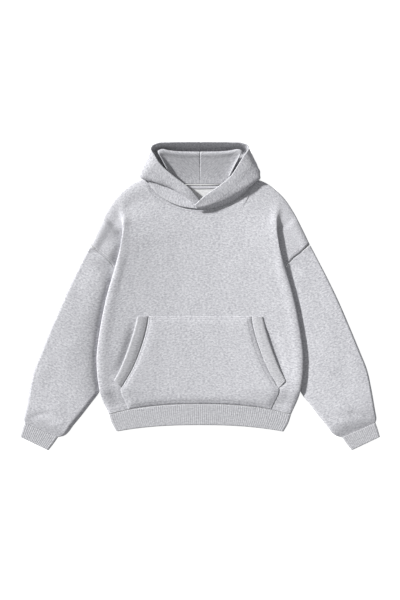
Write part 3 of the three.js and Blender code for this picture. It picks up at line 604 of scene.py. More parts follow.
def back_grid(layers):
    columns, neck_columns, last_place = 8, 3, 0.995
    rows = []
    for row in range(BODY_ROWS + 1):
        rise = seam_rise(row)
        centre_y, _ = row_heights(row)
        seam = seam_point(row, 0 if row < len(SIDE_SEAM_ROWS) else -SEAM_GAP)
        if row == BODY_ROWS:
            seam = shoulder(last_place) - np.array([SEAM_GAP, 0, 0])
        centre = centre_y + (BACK_NECKLINE[0]["y"] - FRONT_NECKLINE[0]["y"]) * rise ** 2
        half = []
        for column in range(columns + 1):
            share = column / columns
            point = np.array([seam[0] * share, mix(centre, seam[1], share ** HEM_DIP), 0.0])
            corner = shoulder(last_place)
            straight = mix(BACK_NECKLINE[0]["y"], corner[1], share ** HEM_DIP)
            top_row = np.array([corner[0] * share, straight, 0.0])
            if column <= neck_columns:
                top_edge = back_neckline(column / neck_columns)
            else:
                top_edge = shoulder(last_place * (column - neck_columns) / (columns - neck_columns))
            half.append(point + (top_edge - top_row) * rise ** 3)
        half = np.array(half)
        if row == 0:
            half[:, 1] = hem_seam_y(half[:, 0])
        rows.append(half)
    half = refined(np.array(rows), 7, 7)
    whole = both_halves(half, half)
    whole[..., 2] = layers.fleece / 2
    return whole


def grid_normals(grid):
    across, along = np.gradient(grid, axis=1), np.gradient(grid, axis=0)
    normal = np.cross(across, along)
    return normal / np.maximum(np.linalg.norm(normal, axis=-1, keepdims=True), 1e-9)


def cloth_lengths(grid, middle):
    """Distance along a grid's rows, from its middle column, and along its columns."""
    across = np.linalg.norm(np.diff(grid, axis=1), axis=-1)
    along = np.linalg.norm(np.diff(grid, axis=0), axis=-1)
    u = np.concatenate([np.zeros((grid.shape[0], 1)), np.cumsum(across, axis=1)], axis=1)
    v = np.concatenate([np.zeros((1, grid.shape[1])), np.cumsum(along, axis=0)], axis=0)
    u -= u[:, middle][:, None]
    return u, v


def linked(name, data):
    """New object in the scene."""
    made = bpy.data.objects.new(name, data)
    bpy.context.collection.objects.link(made)
    return made


def wall_mesh(name, outer, inner, material, ring=False, grain=None):
    """Closed wall between two grids, in metres. Its UV map holds the cloth's own lengths, or for a
    flattened tube the lengths across and along its grain."""
    rows, columns = outer.shape[:2]
    verts = np.concatenate([outer.reshape(-1, 3), inner.reshape(-1, 3)]) * MM
    start = rows * columns
    spans = columns if ring else columns - 1
    r, c = np.meshgrid(np.arange(rows - 1), np.arange(spans), indexing="ij")
    a = (r * columns + c).ravel()
    b = (r * columns + (c + 1) % columns).ravel()
    quads = [np.stack([a, b, b + columns, a + columns], 1)]
    quads.append(np.stack([b + start, a + start, a + columns + start, b + columns + start], 1))
    c = np.arange(spans)
    a, b, top = c, (c + 1) % columns, (rows - 1) * columns
    quads.append(np.stack([b, a, a + start, b + start], 1))
    quads.append(np.stack([top + a, top + b, top + b + start, top + a + start], 1))
    if not ring:
        a = np.arange(rows - 1) * columns
        b, right = a + columns, columns - 1
        quads.append(np.stack([a, b, b + start, a + start], 1))
        quads.append(np.stack([b + right, a + right, a + right + start, b + right + start], 1))
    faces = np.concatenate(quads)
    mesh = bpy.data.meshes.new(name)
    mesh.vertices.add(len(verts))
    mesh.vertices.foreach_set("co", verts.ravel())
    mesh.loops.add(faces.size)
    mesh.loops.foreach_set("vertex_index", faces.ravel())
    mesh.polygons.add(len(faces))
    mesh.polygons.foreach_set("loop_start", np.arange(len(faces)) * 4)
    mesh.polygons.foreach_set("loop_total", np.full(len(faces), 4))
    mesh.update(calc_edges=True)
    if grain is None:
        u, v = cloth_lengths(outer, columns // 2)
    else:
        u = outer[..., 0] * grain[0] + outer[..., 1] * grain[1]
        v = outer[..., 1] * grain[0] - outer[..., 0] * grain[1] + outer[..., 2]
    flat = np.stack([u.ravel(), v.ravel()], 1) * MM
    layer = mesh.uv_layers.new(name="cloth")
    layer.data.foreach_set("uv", np.concatenate([flat, flat])[faces.ravel()].ravel())
    walls = len(quads[0]) + len(quads[1])
    mesh.polygons.foreach_set("use_smooth", np.arange(len(faces)) < walls)
    volume = signed_volume(verts, faces)
    if volume < 0:
        mesh.flip_normals()
    mesh.materials.append(material)
    return linked(name, mesh)


def signed_volume(verts, faces):
    a, b, c, d = (verts[faces[:, i]] for i in range(4))
    return float((np.cross(b - a, c - a) * a).sum() + (np.cross(c - a, d - a) * a).sum())


def sheet_wall(name, grid, thickness, material):
    normal = grid_normals(grid)
    return wall_mesh(name, grid + normal * thickness / 2, grid - normal * thickness / 2, material)


def with_rounded_edge(grid, thickness):
    """Grid with extra columns near its last one, and half the wall's thickness there, rounded off."""
    extra = [mix(grid[:, -2:-1], grid[:, -1:], part) for part in (0.35, 0.6, 0.8, 0.92, 0.98)]
    grid = np.concatenate([grid[:, :-1], *extra, grid[:, -1:]], axis=1)
    lengths = np.linalg.norm(np.diff(grid, axis=1), axis=-1)
    left = np.concatenate([lengths[:, ::-1].cumsum(axis=1)[:, ::-1], np.zeros((len(grid), 1))], axis=1)
    part = np.clip(1 - left / (thickness / 2), 0, 1)
    return grid, thickness / 2 * np.sqrt(1.01 - part ** 2)[..., None]


def rounded_wall(name, grid, thickness, material):
    """Closed wall whose last column is a rolled edge, and whose foot rests on the surface."""
    grid, half = with_rounded_edge(grid, thickness)
    normal = grid_normals(grid)
    sides = [grid + normal * half, grid - normal * half]
    for side in sides:
        side[..., 2] = np.maximum(side[..., 2], LOWEST_Z)
    return wall_mesh(name, *sides, material)


def cut_of(grid):
    """(width, length) and area in metres of the flat cloth that a grid stands for."""
    across = np.linalg.norm(np.diff(grid, axis=1), axis=-1).sum(axis=1).max()
    along = np.linalg.norm(np.diff(grid, axis=0), axis=-1).sum(axis=0).max()
    one, two = grid[1:, 1:] - grid[:-1, :-1], grid[1:, :-1] - grid[:-1, 1:]
    area = np.linalg.norm(np.cross(one, two), axis=-1).sum() / 2
    width, length = across * MM, along * MM
    return (width, length), min(area * MM * MM, 0.999 * width * length)


def finish_piece(piece, node, slot, cut, area, rests_on):
    """Puts a piece on the body in place of its plain solid."""
    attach(piece, BODY)
    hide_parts(node)
    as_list(rests_on)


def arc(centre, out, turn, centre_z, radius, count=9):
    angles = np.radians(np.linspace(80, -80, count)) * -turn
    points = centre[None] + out[None] * (radius * np.cos(angles))[:, None]
    points[:, 2] = centre_z + radius * np.sin(angles)
    return points


def tube_section(at, length, height, stations, wall, rise):
    """Ring section of a flattened tube: over the top, round an edge, underneath, round the other."""
    low, high = at(np.array([0.0, 0.04])), at(np.array([0.96, 1.0]))
    left, right = low[0] - low[1], high[1] - high[0]
    radii = [float(height(np.array([share]), point[None])[0]) / 2
             for share, point in ((0.0, low[0]), (1.0, high[1]))]
    insets = [radius / length for radius in radii]

    def place(share):
        return at(insets[0] + share * (1 - insets[0] - insets[1]))

    shares, unders = np.linspace(0, 1, stations + 1), np.linspace(1, 0, 24)
    rings = []
    for depth, ribs in ((0, rise), (wall, 0)):
        top = place(shares)
        waves = 0.5 - 0.5 * np.cos(shares * math.pi * stations / 3)
        top[:, 2] = height(shares, top) - depth + ribs * waves
        under = place(unders)
        under[:, 2] = depth
        ends = []
        for share, out, radius, turn in ((1.0, right, radii[1], -1), (0.0, left, radii[0], 1)):
            out = out / np.linalg.norm(out)
            ends.append(arc(place(np.array(share)), out, turn, radius, radius - depth))
        rings.append(np.vstack([top, ends[0], under, ends[1]]))
    return rings


def tube(name, sections, material, grain):
    """Closed wall of a flattened tube. Its grain is the direction across it, in degrees."""
    outer, inner = (np.array([section[i] for section in sections]) for i in (0, 1))
    turn = math.radians(grain)
    return wall_mesh(name, outer, inner, material, ring=True, grain=(math.cos(turn), math.sin(turn)))


def tube_cut(sections):
    ring = np.array([section[0] for section in sections])
    return cut_of(np.concatenate([ring, ring[:, :1]], axis=1))


def sleeve_sections(side, wall, layers, rows=130, stations=72):
    chord_end = armhole(1)
    sections = []
    seam = front_half(layers, side)[0][:, -1]
    seam = seam[(seam[:, 1] > ARMHOLE[0]["y"]).nonzero()[0][0]:-3]
    seam_y, seam_z = seam[:, 1], seam[:, 2] + layers.fleece / 2 - 0.5
    for along in np.linspace(0, 1, rows):
        row = table_row(SLEEVE, along)
        bow = max(0, 1 - along * 2.2) ** 2

        def at(share):
            share = np.asarray(share, float)[..., None]
            low = np.array([row["in_x"], row["in_y"], 0.0])
            high = np.array([row["out_x"], row["out_y"], 0.0])
            seam = armhole(share[..., 0]) - mix(armhole(0), chord_end, share)
            return (mix(low, high, share) + seam * bow) * np.array([side, 1, 1])

        chord = math.hypot(row["out_x"] - row["in_x"], row["out_y"] - row["in_y"])
        length = mix(ARMHOLE_LENGTH, chord, float(smooth(0, 0.3, along)))
        full = 1 - smooth(*SLEEVE_LOFT_END, along)

        def height(share, top):
            x, y = top[:, 0] * side, top[:, 1]
            outer = (1 - LOFT_KEPT) * (1 - 0.9 * smooth(0, 0.3, along)) * smooth(*LOFT_FADE, share)
            loft = layers.loft(x, y, side) * full * (1 - outer)
            free = smooth(0.04, 0.16, share) * (1 - smooth(0.9, 1, share)) * smooth(0, 0.1, along)
            clear = smooth(0, 14, x - body_edge(y)) * (1 - smooth(0.985, 1, along))
            folds = crease_height(SLEEVE_CREASES, x, y) + 0.4 * softness(x, y, 7 + side)
            level = EDGE_HEIGHT + 0.2 * np.sin(np.pi * share) + loft + folds * free * clear
            at_seam = (1 - smooth(0, 0.1, along)) * smooth(0, 0.08, share)
            return mix(level, np.interp(y, seam_y, seam_z), at_seam)

        sections.append(tube_section(at, length, height, stations, wall, 0))
    return sections


def rib_stations(width, pitch):
    return 6 * round(width / pitch)


def cuff_sections(side, wall, pitch, rise, rows=14):
    stations = rib_stations(CUFF_WIDTH, pitch)
    sections = []
    for along in np.linspace(0, 1, rows):
        row = table_row(CUFF, along)
        shift = SEAM_GAP * (1 - along)

        def at(share):
            share = np.asarray(share, float)[..., None]
            low = np.array([row["in_x"] + shift, row["in_y"] - shift, 0.0])
            high = np.array([row["out_x"] + shift, row["out_y"] - shift, 0.0])
            return mix(low, high, share) * np.array([side, 1, 1])

        def level(share, top):
            return np.full(np.shape(share), EDGE_HEIGHT)

        length = math.hypot(row["out_x"] - row["in_x"], row["out_y"] - row["in_y"])
        sections.append(tube_section(at, length, level, stations, wall, rise))
    return sections


def hem_sections(wall, pitch, rise, rows=14):
    stations = rib_stations(HEM[0]["half"] * 2, pitch)
    sections = []
    for along in np.linspace(0, 1, rows):
        row = table_row(HEM, along)
        drop = 3 * SEAM_GAP * (1 - along)

        def at(share):
            x = mix(-row["half"], row["half"], np.asarray(share, float))
            y = mix(row["centre"], row["corner"], (np.abs(x) / row["half"]) ** HEM_DIP) - drop
            return np.stack([x, y, np.zeros_like(x)], axis=-1)

        def height(share, top):
            return mix(EDGE_HEIGHT, CENTRE_HEIGHT, np.sin(np.pi * share))

        sections.append(tube_section(at, row["half"] * 2, height, stations, wall, rise))
    return sections


def pocket_grids(layers):
    """Upper and lower faces of the pocket, thinned and pressed down where it is sewn on."""
    shares = np.linspace(0, 1, POCKET_GRID[0])
    half = width_at(POCKET_EDGE, mix(POCKET_FOOT, POCKET_TOP, shares))
    across = np.linspace(-1, 1, POCKET_GRID[1])
    x = half[:, None] * across[None]
    y = mix(hem_seam_y(x) + 2, POCKET_TOP, shares[:, None])
    to_side = half[:, None] * (1 - np.abs(across))[None]
    to_edge = np.minimum(np.minimum(to_side, POCKET_TOP - y), y - hem_seam_y(x))
    free = smooth(*POCKET_FREE_REACH, to_edge)
    lower = layers.creased_height(x, y) + layers.fleece / 2 + mix(SEAM_GAP, POCKET_LIFT, free)
    upper = lower + layers.fleece * mix(0.1, 1, smooth(*POCKET_THIN_REACH, to_edge))
    return np.stack([x, y, upper], axis=-1), np.stack([x, y, lower], axis=-1)


def band_grids(side, layers, pitch, rise):
    """Upper and lower faces of a pocket band, its ribs across it."""
    along = np.linspace(0, 1, BAND_GRID[0])
    row = table_row(BAND, along)
    across = np.linspace(0.05, 1, BAND_GRID[1])[None]
    x = mix(row["in_x"][:, None], row["out_x"][:, None], across)
    y = mix(row["in_y"][:, None], row["out_y"][:, None], across)
    gape = BAND_GAPE * np.sin(np.pi * smooth(-0.1, 1.05, along))[:, None] * across
    free = smooth(0, 0.5, across)
    lower = layers.front_height(x, y) + layers.fleece / 2 + mix(SEAM_GAP, BAND_LIFT, free) + gape
    ribs = 0.5 - 0.5 * np.cos(along * 2 * math.pi * round(BAND_LENGTH / pitch))
    rounded = np.sqrt(np.maximum(1 - (2 * across - 1) ** 8, 0.04))
    wall = mix(0.9, BAND_WALL, free) + 0.4 * rise * ribs[:, None] * free
    upper = lower + wall * rounded
    place = np.array([side, 1, 1])
    return np.stack([x, y, upper], axis=-1) * place, np.stack([x, y, lower], axis=-1) * place


def neckline_place(share):
    """Place on the neckline: 0 centre front, 1 high shoulder, 2 centre back."""
    if share <= 0:
        return np.array([share * HOOD_FRONT_OVERLAP, FRONT_NECKLINE[0]["y"], 0.0])
    if share <= 1:
        return front_neckline(share)
    return back_neckline(min(1, 2 - share))


def relaxed(grid, passes):
    """Grid with its inner points drawn towards their neighbours, so that folds come out round."""
    for _ in range(passes):
        near = grid.copy()
        near[1:-1, 1:-1] = (grid[1:-1, :-2] + grid[1:-1, 2:] + grid[:-2, 1:-1] + grid[2:, 1:-1]) / 4
        near[(0, -1), 1:-1] = (grid[(0, -1), :-2] + grid[(0, -1), 2:]) / 2
        grid = mix(grid, near, 0.4)
    return grid


def hood_grid(rows, side):
    """Half of the hood, from its foot at the neck seam, over the flap, to the opening's edge."""
    table = named_rows(HOOD_COLUMNS, rows)
    grid = []
    for share in np.linspace(0, 1, 18):
        row = table_row(table, share)
        neck = neckline_place(float(row["neck"]))
        fold = np.array([row["fold_x"], row["fold_y"], row["fold_z"]])
        edge = np.array([row["edge_x"], row["edge_y"], row["edge_z"]])
        back = float(smooth(1, 1.15, row["neck"]))
        neck[1] += mix(-2.5, 2.8, back)
        neck[2] = row["foot"]
        inward = (edge - neck) * np.array([1, 1, 0])
        base = neck + inward / np.linalg.norm(inward) * row["base"]
        base[2] += mix(1.5, 0, back)
        crest = (fold + edge) / 2
        crest[2] += FLAP_CREST * smooth(0, 0.35, row["neck"]) * (1 - smooth(1.2, 1.5, row["neck"]))
        grid.append(even_curve([neck, base, fold, crest, edge], 22)[0])
    grid = relaxed(np.array(grid), 1)
    grid[-1, :, 0] = CENTRE_GAP
    fine = refined(grid, 3.2, 2.0)
    near = 1 - smooth(0, GROOVE_HALF_WIDTH, fine[..., 0])
    fine[..., 2] -= CENTRE_GROOVE * near * smooth(*GROOVE_START_Y, fine[..., 1])
    return fine * np.array([side, 1, 1])


def inside_grid(side):
    """Inside back of the hood on one side of its centre seam."""
    table = named_rows(INSIDE_COLUMNS, HOOD_INSIDE)
    grid = []
    for share in np.linspace(0, 1, 10):
        row = table_row(table, share)
        neck = np.array([row["neck_x"], row["neck_y"], INSIDE_FOOT_Z])
        ridge = np.array([row["ridge_x"], row["ridge_y"], row["ridge_z"]])
        line = []
        for part in np.linspace(0, 1, 7):
            point = mix(neck, ridge, part)
            point[2] = mix(neck[2], ridge[2], part ** 1.5)
            line.append(point)
        outward = (ridge - neck) * np.array([1, 1, 0])
        outward /= np.linalg.norm(outward)
        line.append(ridge + outward * 3 + np.array([0, 0, -1.2]))
        line.append(ridge + outward * 4 + np.array([0, 0, -6]))
        grid.append(line)
    grid = np.array(grid)
    grid[-1, :, 0] = CENTRE_GAP
    return refined(grid, 3, 2.5) * np.array([side, 1, 1])


def tape_grids():
    share = np.linspace(-TAPE_END, TAPE_END, 80)
    line = back_neckline(np.abs(share))
    line[:, 0] *= np.sign(share)
    shifts = np.linspace(-9, 0, 8)
    lower = np.array([line + np.array([0, shift - 2, 2.4 + SEAM_GAP]) for shift in shifts])
    return lower + np.array([0, 0, TAPE]), lower


# Lines of stitches, in plan. They are laid on the pieces afterwards.

def beside(line, distance):
    """A line in plan moved to its left by a distance."""
    return line + outward_of(line) * distance


def sewn_lines():
    """Each line of stitches as (pieces that it lies on, points in plan)."""
    front, pocket, band = ("front_panel",), ("pocket_panel",), ("pocket_panel", "front_panel")
    lines = []
    neck = front_neckline(np.linspace(0, 0.97, 120))
    for distance in NECK_STITCHES:
        below = beside(neck, -distance)
        lines += [(front, below), (front, below * MIRROR)]
    for distance in HEM_STITCHES:
        x = np.linspace(-HEM_STITCH_X, HEM_STITCH_X, 180)
        lines.append((band, np.stack([x, hem_seam_y(x) + distance, 0 * x], axis=1)))
    for distance in POCKET_TOP_STITCHES:
        x = np.linspace(-POCKET_STITCH_X, POCKET_STITCH_X, 100)
        lines.append((pocket, np.stack([x, 0 * x + POCKET_TOP - distance, 0 * x], axis=1)))
    for distance in POCKET_SIDE_STITCHES:
        y = np.linspace(POCKET_STITCH_FOOT, POCKET_TOP - 3, 90)
        side = np.stack([width_at(POCKET_EDGE, y) - distance, y, 0 * y], axis=1)
        lines += [(pocket, side), (pocket, side * MIRROR)]
    side = even_curve([(entry["x"], entry["y"], 0) for entry in ARMHOLE], 90)[0]
    for distance in ARMHOLE_STITCHES:
        along = beside(side, distance)
        in_view = (along[:, 0] > body_edge(along[:, 1]) + 2) & (along[:, 1] < ARMHOLE_STITCH_TOP)
        along = along[in_view]
        lines += [(front, along), (front, along * MIRROR)]
    return lines


def hood_lines():
    """Lines of stitches along the opening of the hood, already in space."""
    lines = []
    for _, side, rows in HOOD_HALVES:
        grid = hood_grid(rows, side)
        top = grid - grid_normals(grid) * (HOOD_WALL / 2) * side
        length = np.linalg.norm(np.diff(grid, axis=1), axis=-1)[:, ::-1].cumsum(axis=1)[:, ::-1]
        column = (length > HOOD_STITCH).sum(axis=1) - 1
        line = top[np.arange(len(top)), column]
        lines.append(line[6:-2])
    return lines


def draped(names, line):
    """A line in plan laid on the upper faces of pieces."""
    depsgraph = bpy.context.evaluated_depsgraph_get()
    trees = [BVHTree.FromObject(bpy.data.objects[name], depsgraph) for name in names]
    points = []
    for x, y, _ in line * MM:
        hits = [tree.ray_cast(Vector((x, y, 0.2)), Vector((0, 0, -1)))[0] for tree in trees]
        heights = [hit.z for hit in hits if hit is not None]
        if heights:
            points.append((x, y, max(heights)))
    return np.array(points)


def line_mesh(name, lines):
    """Mesh of bare edges along several lines of points, in metres."""
    verts, edges = [], []
    for line in lines:
        edges += [(len(verts) + i, len(verts) + i + 1) for i in range(len(line) - 1)]
        verts += [tuple(point) for point in line]
    mesh = bpy.data.meshes.new(name)
    mesh.from_pydata(verts, edges, [])
    return linked(name, mesh)


STITCH_INPUTS = (("Stitch Length", 0.0034), ("Thread", 0.0005), ("Fill", 0.82))
STITCH_NODES = {
    "source": "NodeGroupInput", "curve": "GeometryNodeMeshToCurve", "even": "GeometryNodeResampleCurve",
    "tangent": "GeometryNodeInputTangent", "turn": "FunctionNodeAlignRotationToVector",
    "bead": "GeometryNodeMeshUVSphere", "long": "ShaderNodeMath", "scale": "ShaderNodeCombineXYZ",
    "place": "GeometryNodeInstanceOnPoints", "real": "GeometryNodeRealizeInstances",
    "look": "GeometryNodeSetMaterial", "result": "NodeGroupOutput",
}
STITCH_LINKS = (
    ("source", "Lines", "curve", "Mesh"), ("curve", "Curve", "even", "Curve"),
    ("source", "Stitch Length", "even", "Length"), ("even", "Curve", "place", "Points"),
    ("bead", "Mesh", "place", "Instance"), ("tangent", "Tangent", "turn", "Vector"),
    ("turn", "Rotation", "place", "Rotation"), ("source", "Stitch Length", "long", 0),
    ("source", "Fill", "long", 1), ("source", "Thread", "scale", "X"),
    ("source", "Thread", "scale", "Y"), ("long", 0, "scale", "Z"), ("scale", "Vector", "place", "Scale"),
    ("place", "Instances", "real", "Geometry"), ("real", "Geometry", "look", "Geometry"),
    ("look", "Geometry", "result", "Stitches"),
)


def stitch_tree(material):
    """Geometry nodes that set even stitches along the edges of a mesh."""
    tree = bpy.data.node_groups.new("Stitches", "GeometryNodeTree")
    tree.is_modifier = True
    sockets = tree.interface
    sockets.new_socket(name="Lines", in_out="INPUT", socket_type="NodeSocketGeometry")
    for label, default in STITCH_INPUTS:
        socket = sockets.new_socket(name=label, in_out="INPUT", socket_type="NodeSocketFloat")
        socket.default_value = default
    sockets.new_socket(name="Stitches", in_out="OUTPUT", socket_type="NodeSocketGeometry")
    nodes = {name: tree.nodes.new(kind) for name, kind in STITCH_NODES.items()}
    nodes["even"].mode = "LENGTH"
    nodes["turn"].axis = "Z"
    nodes["long"].operation = "MULTIPLY"
    for label, value in (("Segments", 6), ("Rings", 4), ("Radius", 0.5)):
        nodes["bead"].inputs[label].default_value = value
    nodes["look"].inputs["Material"].default_value = material
    for start, output, end, entry in STITCH_LINKS:
        tree.links.new(nodes[start].outputs[output], nodes[end].inputs[entry])
    return tree


def set_input(modifier, label, value):
    for item in modifier.node_group.interface.items_tree:
        if item.name == label and item.in_out == "INPUT":
            modifier[item.identifier] = value


def sewn_piece(name, lines, tree, length, thread):
    """Plain mesh of the stitches along some lines."""
    guide = line_mesh(f"{name}_lines", lines)
    modifier = guide.modifiers.new("Stitches", "NODES")
    modifier.node_group = tree
    set_input(modifier, "Stitch Length", length * MM)
    set_input(modifier, "Thread", thread * MM)
    depsgraph = bpy.context.evaluated_depsgraph_get()
    mesh = bpy.data.meshes.new_from_object(guide.evaluated_get(depsgraph))
    bpy.data.objects.remove(guide)
    if not mesh.polygons:
        raise RuntimeError(f"no stitches were made for {name}")
    mesh.name = name
    for face in mesh.polygons:
        face.use_smooth = True
    return linked(name, mesh)


# Shader node groups

def new_group(name, inputs, outputs):
    tree = bpy.data.node_groups.new(name, "ShaderNodeTree")
    for label, kind, default in inputs:
        socket = tree.interface.new_socket(name=label, in_out="INPUT", socket_type=kind)
        if default is not None:
            socket.default_value = default
    for label, kind in outputs:
        tree.interface.new_socket(name=label, in_out="OUTPUT", socket_type=kind)
    source = tree.nodes.new("NodeGroupInput")
    result = tree.nodes.new("NodeGroupOutput")
    return tree, source, result


def add_math(tree, kind, a, b, clamp=False):
    node = tree.nodes.new("ShaderNodeMath")
    node.operation, node.use_clamp = kind, clamp
    for socket, value in zip(node.inputs, (a, b)):
        if hasattr(value, "links"):
            tree.links.new(value, socket)
        elif value is not None:
            socket.default_value = value
    return node.outputs[0]


def add_noise(tree, vector, scale, stretch, detail=2.0, roughness=0.5):
    mapping = tree.nodes.new("ShaderNodeMapping")
    mapping.inputs["Scale"].default_value = stretch
    tree.links.new(vector, mapping.inputs["Vector"])
    noise = tree.nodes.new("ShaderNodeTexNoise")
    noise.inputs["Scale"].default_value = scale
    noise.inputs["Detail"].default_value = detail
    noise.inputs["Roughness"].default_value = roughness
    tree.links.new(mapping.outputs["Vector"], noise.inputs["Vector"])
    return noise.outputs["Fac"]


# Noises of the melange: name, scale, stretch, detail, roughness, and weight in the colour
MELANGE_NOISES = (
    ("fleck", 380.0, (0.5, 1.0, 1.0), 2.0, 0.6, 1.8),
    ("blotch", 225.0, (0.6, 1.0, 1.0), 3.0, 0.6, 2.5),
    ("cloud", 30.0, (1.0, 1.0, 1.0), 2.0, 0.5, 0.35),
    ("fibre", 1500.0, (0.3, 1.0, 1.0), 1.0, 0.5, 0.5),
)
KNIT_SCALE = 190.0
KNIT_DISTORTION = 1.5


def melange_group():
    """Heathered grey jersey: flecks of light and dark fibre lying across the cloth, and its stitches."""
    tree, source, result = new_group(
        "Melange Knit",
        [("Cloth", "NodeSocketVector", None), ("Light", "NodeSocketColor", (0.7, 0.7, 0.72, 1)),
         ("Dark", "NodeSocketColor", (0.4, 0.4, 0.42, 1)), ("Contrast", "NodeSocketFloat", 1.0)],
        [("Color", "NodeSocketColor"), ("Height", "NodeSocketFloat"), ("Roughness", "NodeSocketFloat")],
    )
    cloth = source.outputs["Cloth"]
    noises, total = {}, None
    for name, scale, stretch, detail, roughness, weight in MELANGE_NOISES:
        noises[name] = add_noise(tree, cloth, scale, stretch, detail, roughness)
        part = add_math(tree, "MULTIPLY", add_math(tree, "SUBTRACT", noises[name], 0.5), weight)
        total = part if total is None else add_math(tree, "ADD", total, part)
    total = add_math(tree, "MULTIPLY", total, source.outputs["Contrast"])
    blend = tree.nodes.new("ShaderNodeMix")
    blend.data_type = "RGBA"
    tree.links.new(add_math(tree, "ADD", total, 0.5, clamp=True), blend.inputs[0])
    tree.links.new(source.outputs["Dark"], blend.inputs[6])
    tree.links.new(source.outputs["Light"], blend.inputs[7])
    tree.links.new(blend.outputs[2], result.inputs["Color"])
    wave = tree.nodes.new("ShaderNodeTexWave")
    wave.inputs["Scale"].default_value = KNIT_SCALE
    wave.inputs["Distortion"].default_value = KNIT_DISTORTION
    tree.links.new(cloth, wave.inputs["Vector"])
    height = add_math(tree, "ADD", add_math(tree, "MULTIPLY", wave.outputs["Fac"], 0.2), noises["fibre"])
    height = add_math(tree, "ADD", height, add_math(tree, "MULTIPLY", noises["blotch"], 0.8))
    tree.links.new(height, result.inputs["Height"])
    rough = add_math(tree, "ADD", 0.86, add_math(tree, "MULTIPLY", noises["fleck"], 0.12))
    tree.links.new(rough, result.inputs["Roughness"])
    return tree


def cloth_material(name, group, light, dark, contrast, bump, sheen):
    material = bpy.data.materials.new(name)
    material.use_nodes = True
    tree = material.node_tree
    shader = tree.nodes["Principled BSDF"]
    shader.inputs["Sheen Weight"].default_value = sheen
    shader.inputs["Sheen Roughness"].default_value = 0.6
    shader.inputs["Specular IOR Level"].default_value = 0.2
    if name == "Sewing Thread And Painted Groove Shade":
        cloth = tree.nodes.new("ShaderNodeTexCoord").outputs["Object"]
    else:
        uv_map = tree.nodes.new("ShaderNodeUVMap")
        uv_map.uv_map = "cloth"
        cloth = uv_map.outputs["UV"]
    knit = tree.nodes.new("ShaderNodeGroup")
    knit.node_tree = group
    knit.inputs["Light"].default_value = (*light, 1)
    knit.inputs["Dark"].default_value = (*dark, 1)
    knit.inputs["Contrast"].default_value = contrast
    relief = tree.nodes.new("ShaderNodeBump")
    relief.inputs["Strength"].default_value = bump
    relief.inputs["Distance"].default_value = 0.0006
    tree.links.new(cloth, knit.inputs["Cloth"])
    tree.links.new(knit.outputs["Color"], shader.inputs["Base Color"])
    tree.links.new(knit.outputs["Roughness"], shader.inputs["Roughness"])
    tree.links.new(knit.outputs["Height"], relief.inputs["Height"])
    tree.links.new(relief.outputs["Normal"], shader.inputs["Normal"])
    return material


def millimetres(name, description, default, low, high):
    return bpy.props.FloatProperty(
        name=name, description=f"{description}, in millimetres", default=default, min=low, max=high)


def colour(name, description, default):
    return bpy.props.FloatVectorProperty(
        name=name, description=description, subtype="COLOR", size=3, default=default, min=0, max=1)


class HoodieSizes(bpy.types.PropertyGroup):
    fleece: millimetres("Fleece", "Thickness of the fleece", 2.4, 1.5, 3.0)
    rib_knit: millimetres("Rib knit", "Thickness of the rib knit", 2.4, 1.5, 3.0)
    rib_pitch: millimetres("Rib pitch", "Distance from rib to rib", 6.2, 3, 12)
    rib_rise: millimetres("Rib rise", "Height of the ribs", 0.55, 0, 1.5)
    stitch: millimetres("Stitch length", "Length of one stitch", 3.4, 2, 8)
    thread: millimetres("Thread", "Thickness of the sewing thread", 0.7, 0.2, 1.5)


class HoodieColours(bpy.types.PropertyGroup):
    light: colour("Light fibre", "Light fibre of the melange", (0.74, 0.74, 0.765))
    dark: colour("Dark fibre", "Dark fibre of the melange", (0.42, 0.42, 0.45))
    rib_light: colour("Rib light fibre", "Light fibre of the rib knit", (0.64, 0.64, 0.66))
    rib_dark: colour("Rib dark fibre", "Dark fibre of the rib knit", (0.38, 0.38, 0.4))
    inside: colour("Brushed inside", "Brushed inside of the fleece", (0.8, 0.8, 0.8))
    # Thread colour: grey thread, darkened further as painted shade of the grooves that the stitches
    # press into the cloth
    thread: colour("Thread", "Sewing thread", (0.2, 0.2, 0.215))


def shaded(fibre, share):
    return [share * value for value in fibre]


def materials_of(context):
    """The cloth materials, made once."""
    colours = context.scene.hoodie_colours
    # Light fibre, dark fibre, contrast, bump and sheen of each
    group = bpy.data.node_groups.get("Melange Knit") or melange_group()
    wanted = {
        "Fleece Face": (colours.light, colours.dark, 1.0, 0.5, 0.12),
        "Brushed Inside": (colours.inside, shaded(colours.inside, 0.8), 0.5, 0.3, 0.2),
        # Hood lining: the face's fibres darkened to 0.84 of their colour, painted shade for the shadow
        # inside the hood
        "Hood Lining Painted Shade": (shaded(colours.light, 0.84), shaded(colours.dark, 0.84), 1.0, 0.5, 0.12),
        "Rib Knit": (colours.rib_light, colours.rib_dark, 0.8, 0.5, 0.1),
        "Neck Tape": (colours.light, colours.dark, 0.4, 0.3, 0.0),
        # The thread is partly its own grey and partly painted shade of the stitch grooves
        "Sewing Thread And Painted Groove Shade": (colours.thread, shaded(colours.thread, 0.8), 0.3, 0.1, 0.0),
    }
    made = {}
    for name, (light, dark, contrast, bump, sheen) in wanted.items():
        made[name] = bpy.data.materials.get(name) or cloth_material(
            name, group, tuple(light), tuple(dark), contrast, bump, sheen)
    return made


class HOODIE_OT_body(bpy.types.Operator):
    """Makes the front, with its sides folded under, and the back"""
    bl_idname = "hoodie.body"
    bl_label = "Body"

    def execute(self, context):
        layers = Layers(context.scene.hoodie_sizes.fleece)
        looks = materials_of(context)
        grid = front_grid(layers)
        front = sheet_wall("front_panel", grid, layers.fleece, looks["Fleece Face"])
        finish_piece(front, "body_front", "fleece", *cut_of(grid), ["body_back"])
        grid = back_grid(layers)
        faces = [grid * np.array([1, 1, 0]) + np.array([0, 0, z]) for z in (layers.fleece, 0)]
        back = wall_mesh("back_panel", *faces, looks["Brushed Inside"])
        finish_piece(back, "body_back", "fleece", *cut_of(grid), [])
        return {"FINISHED"}


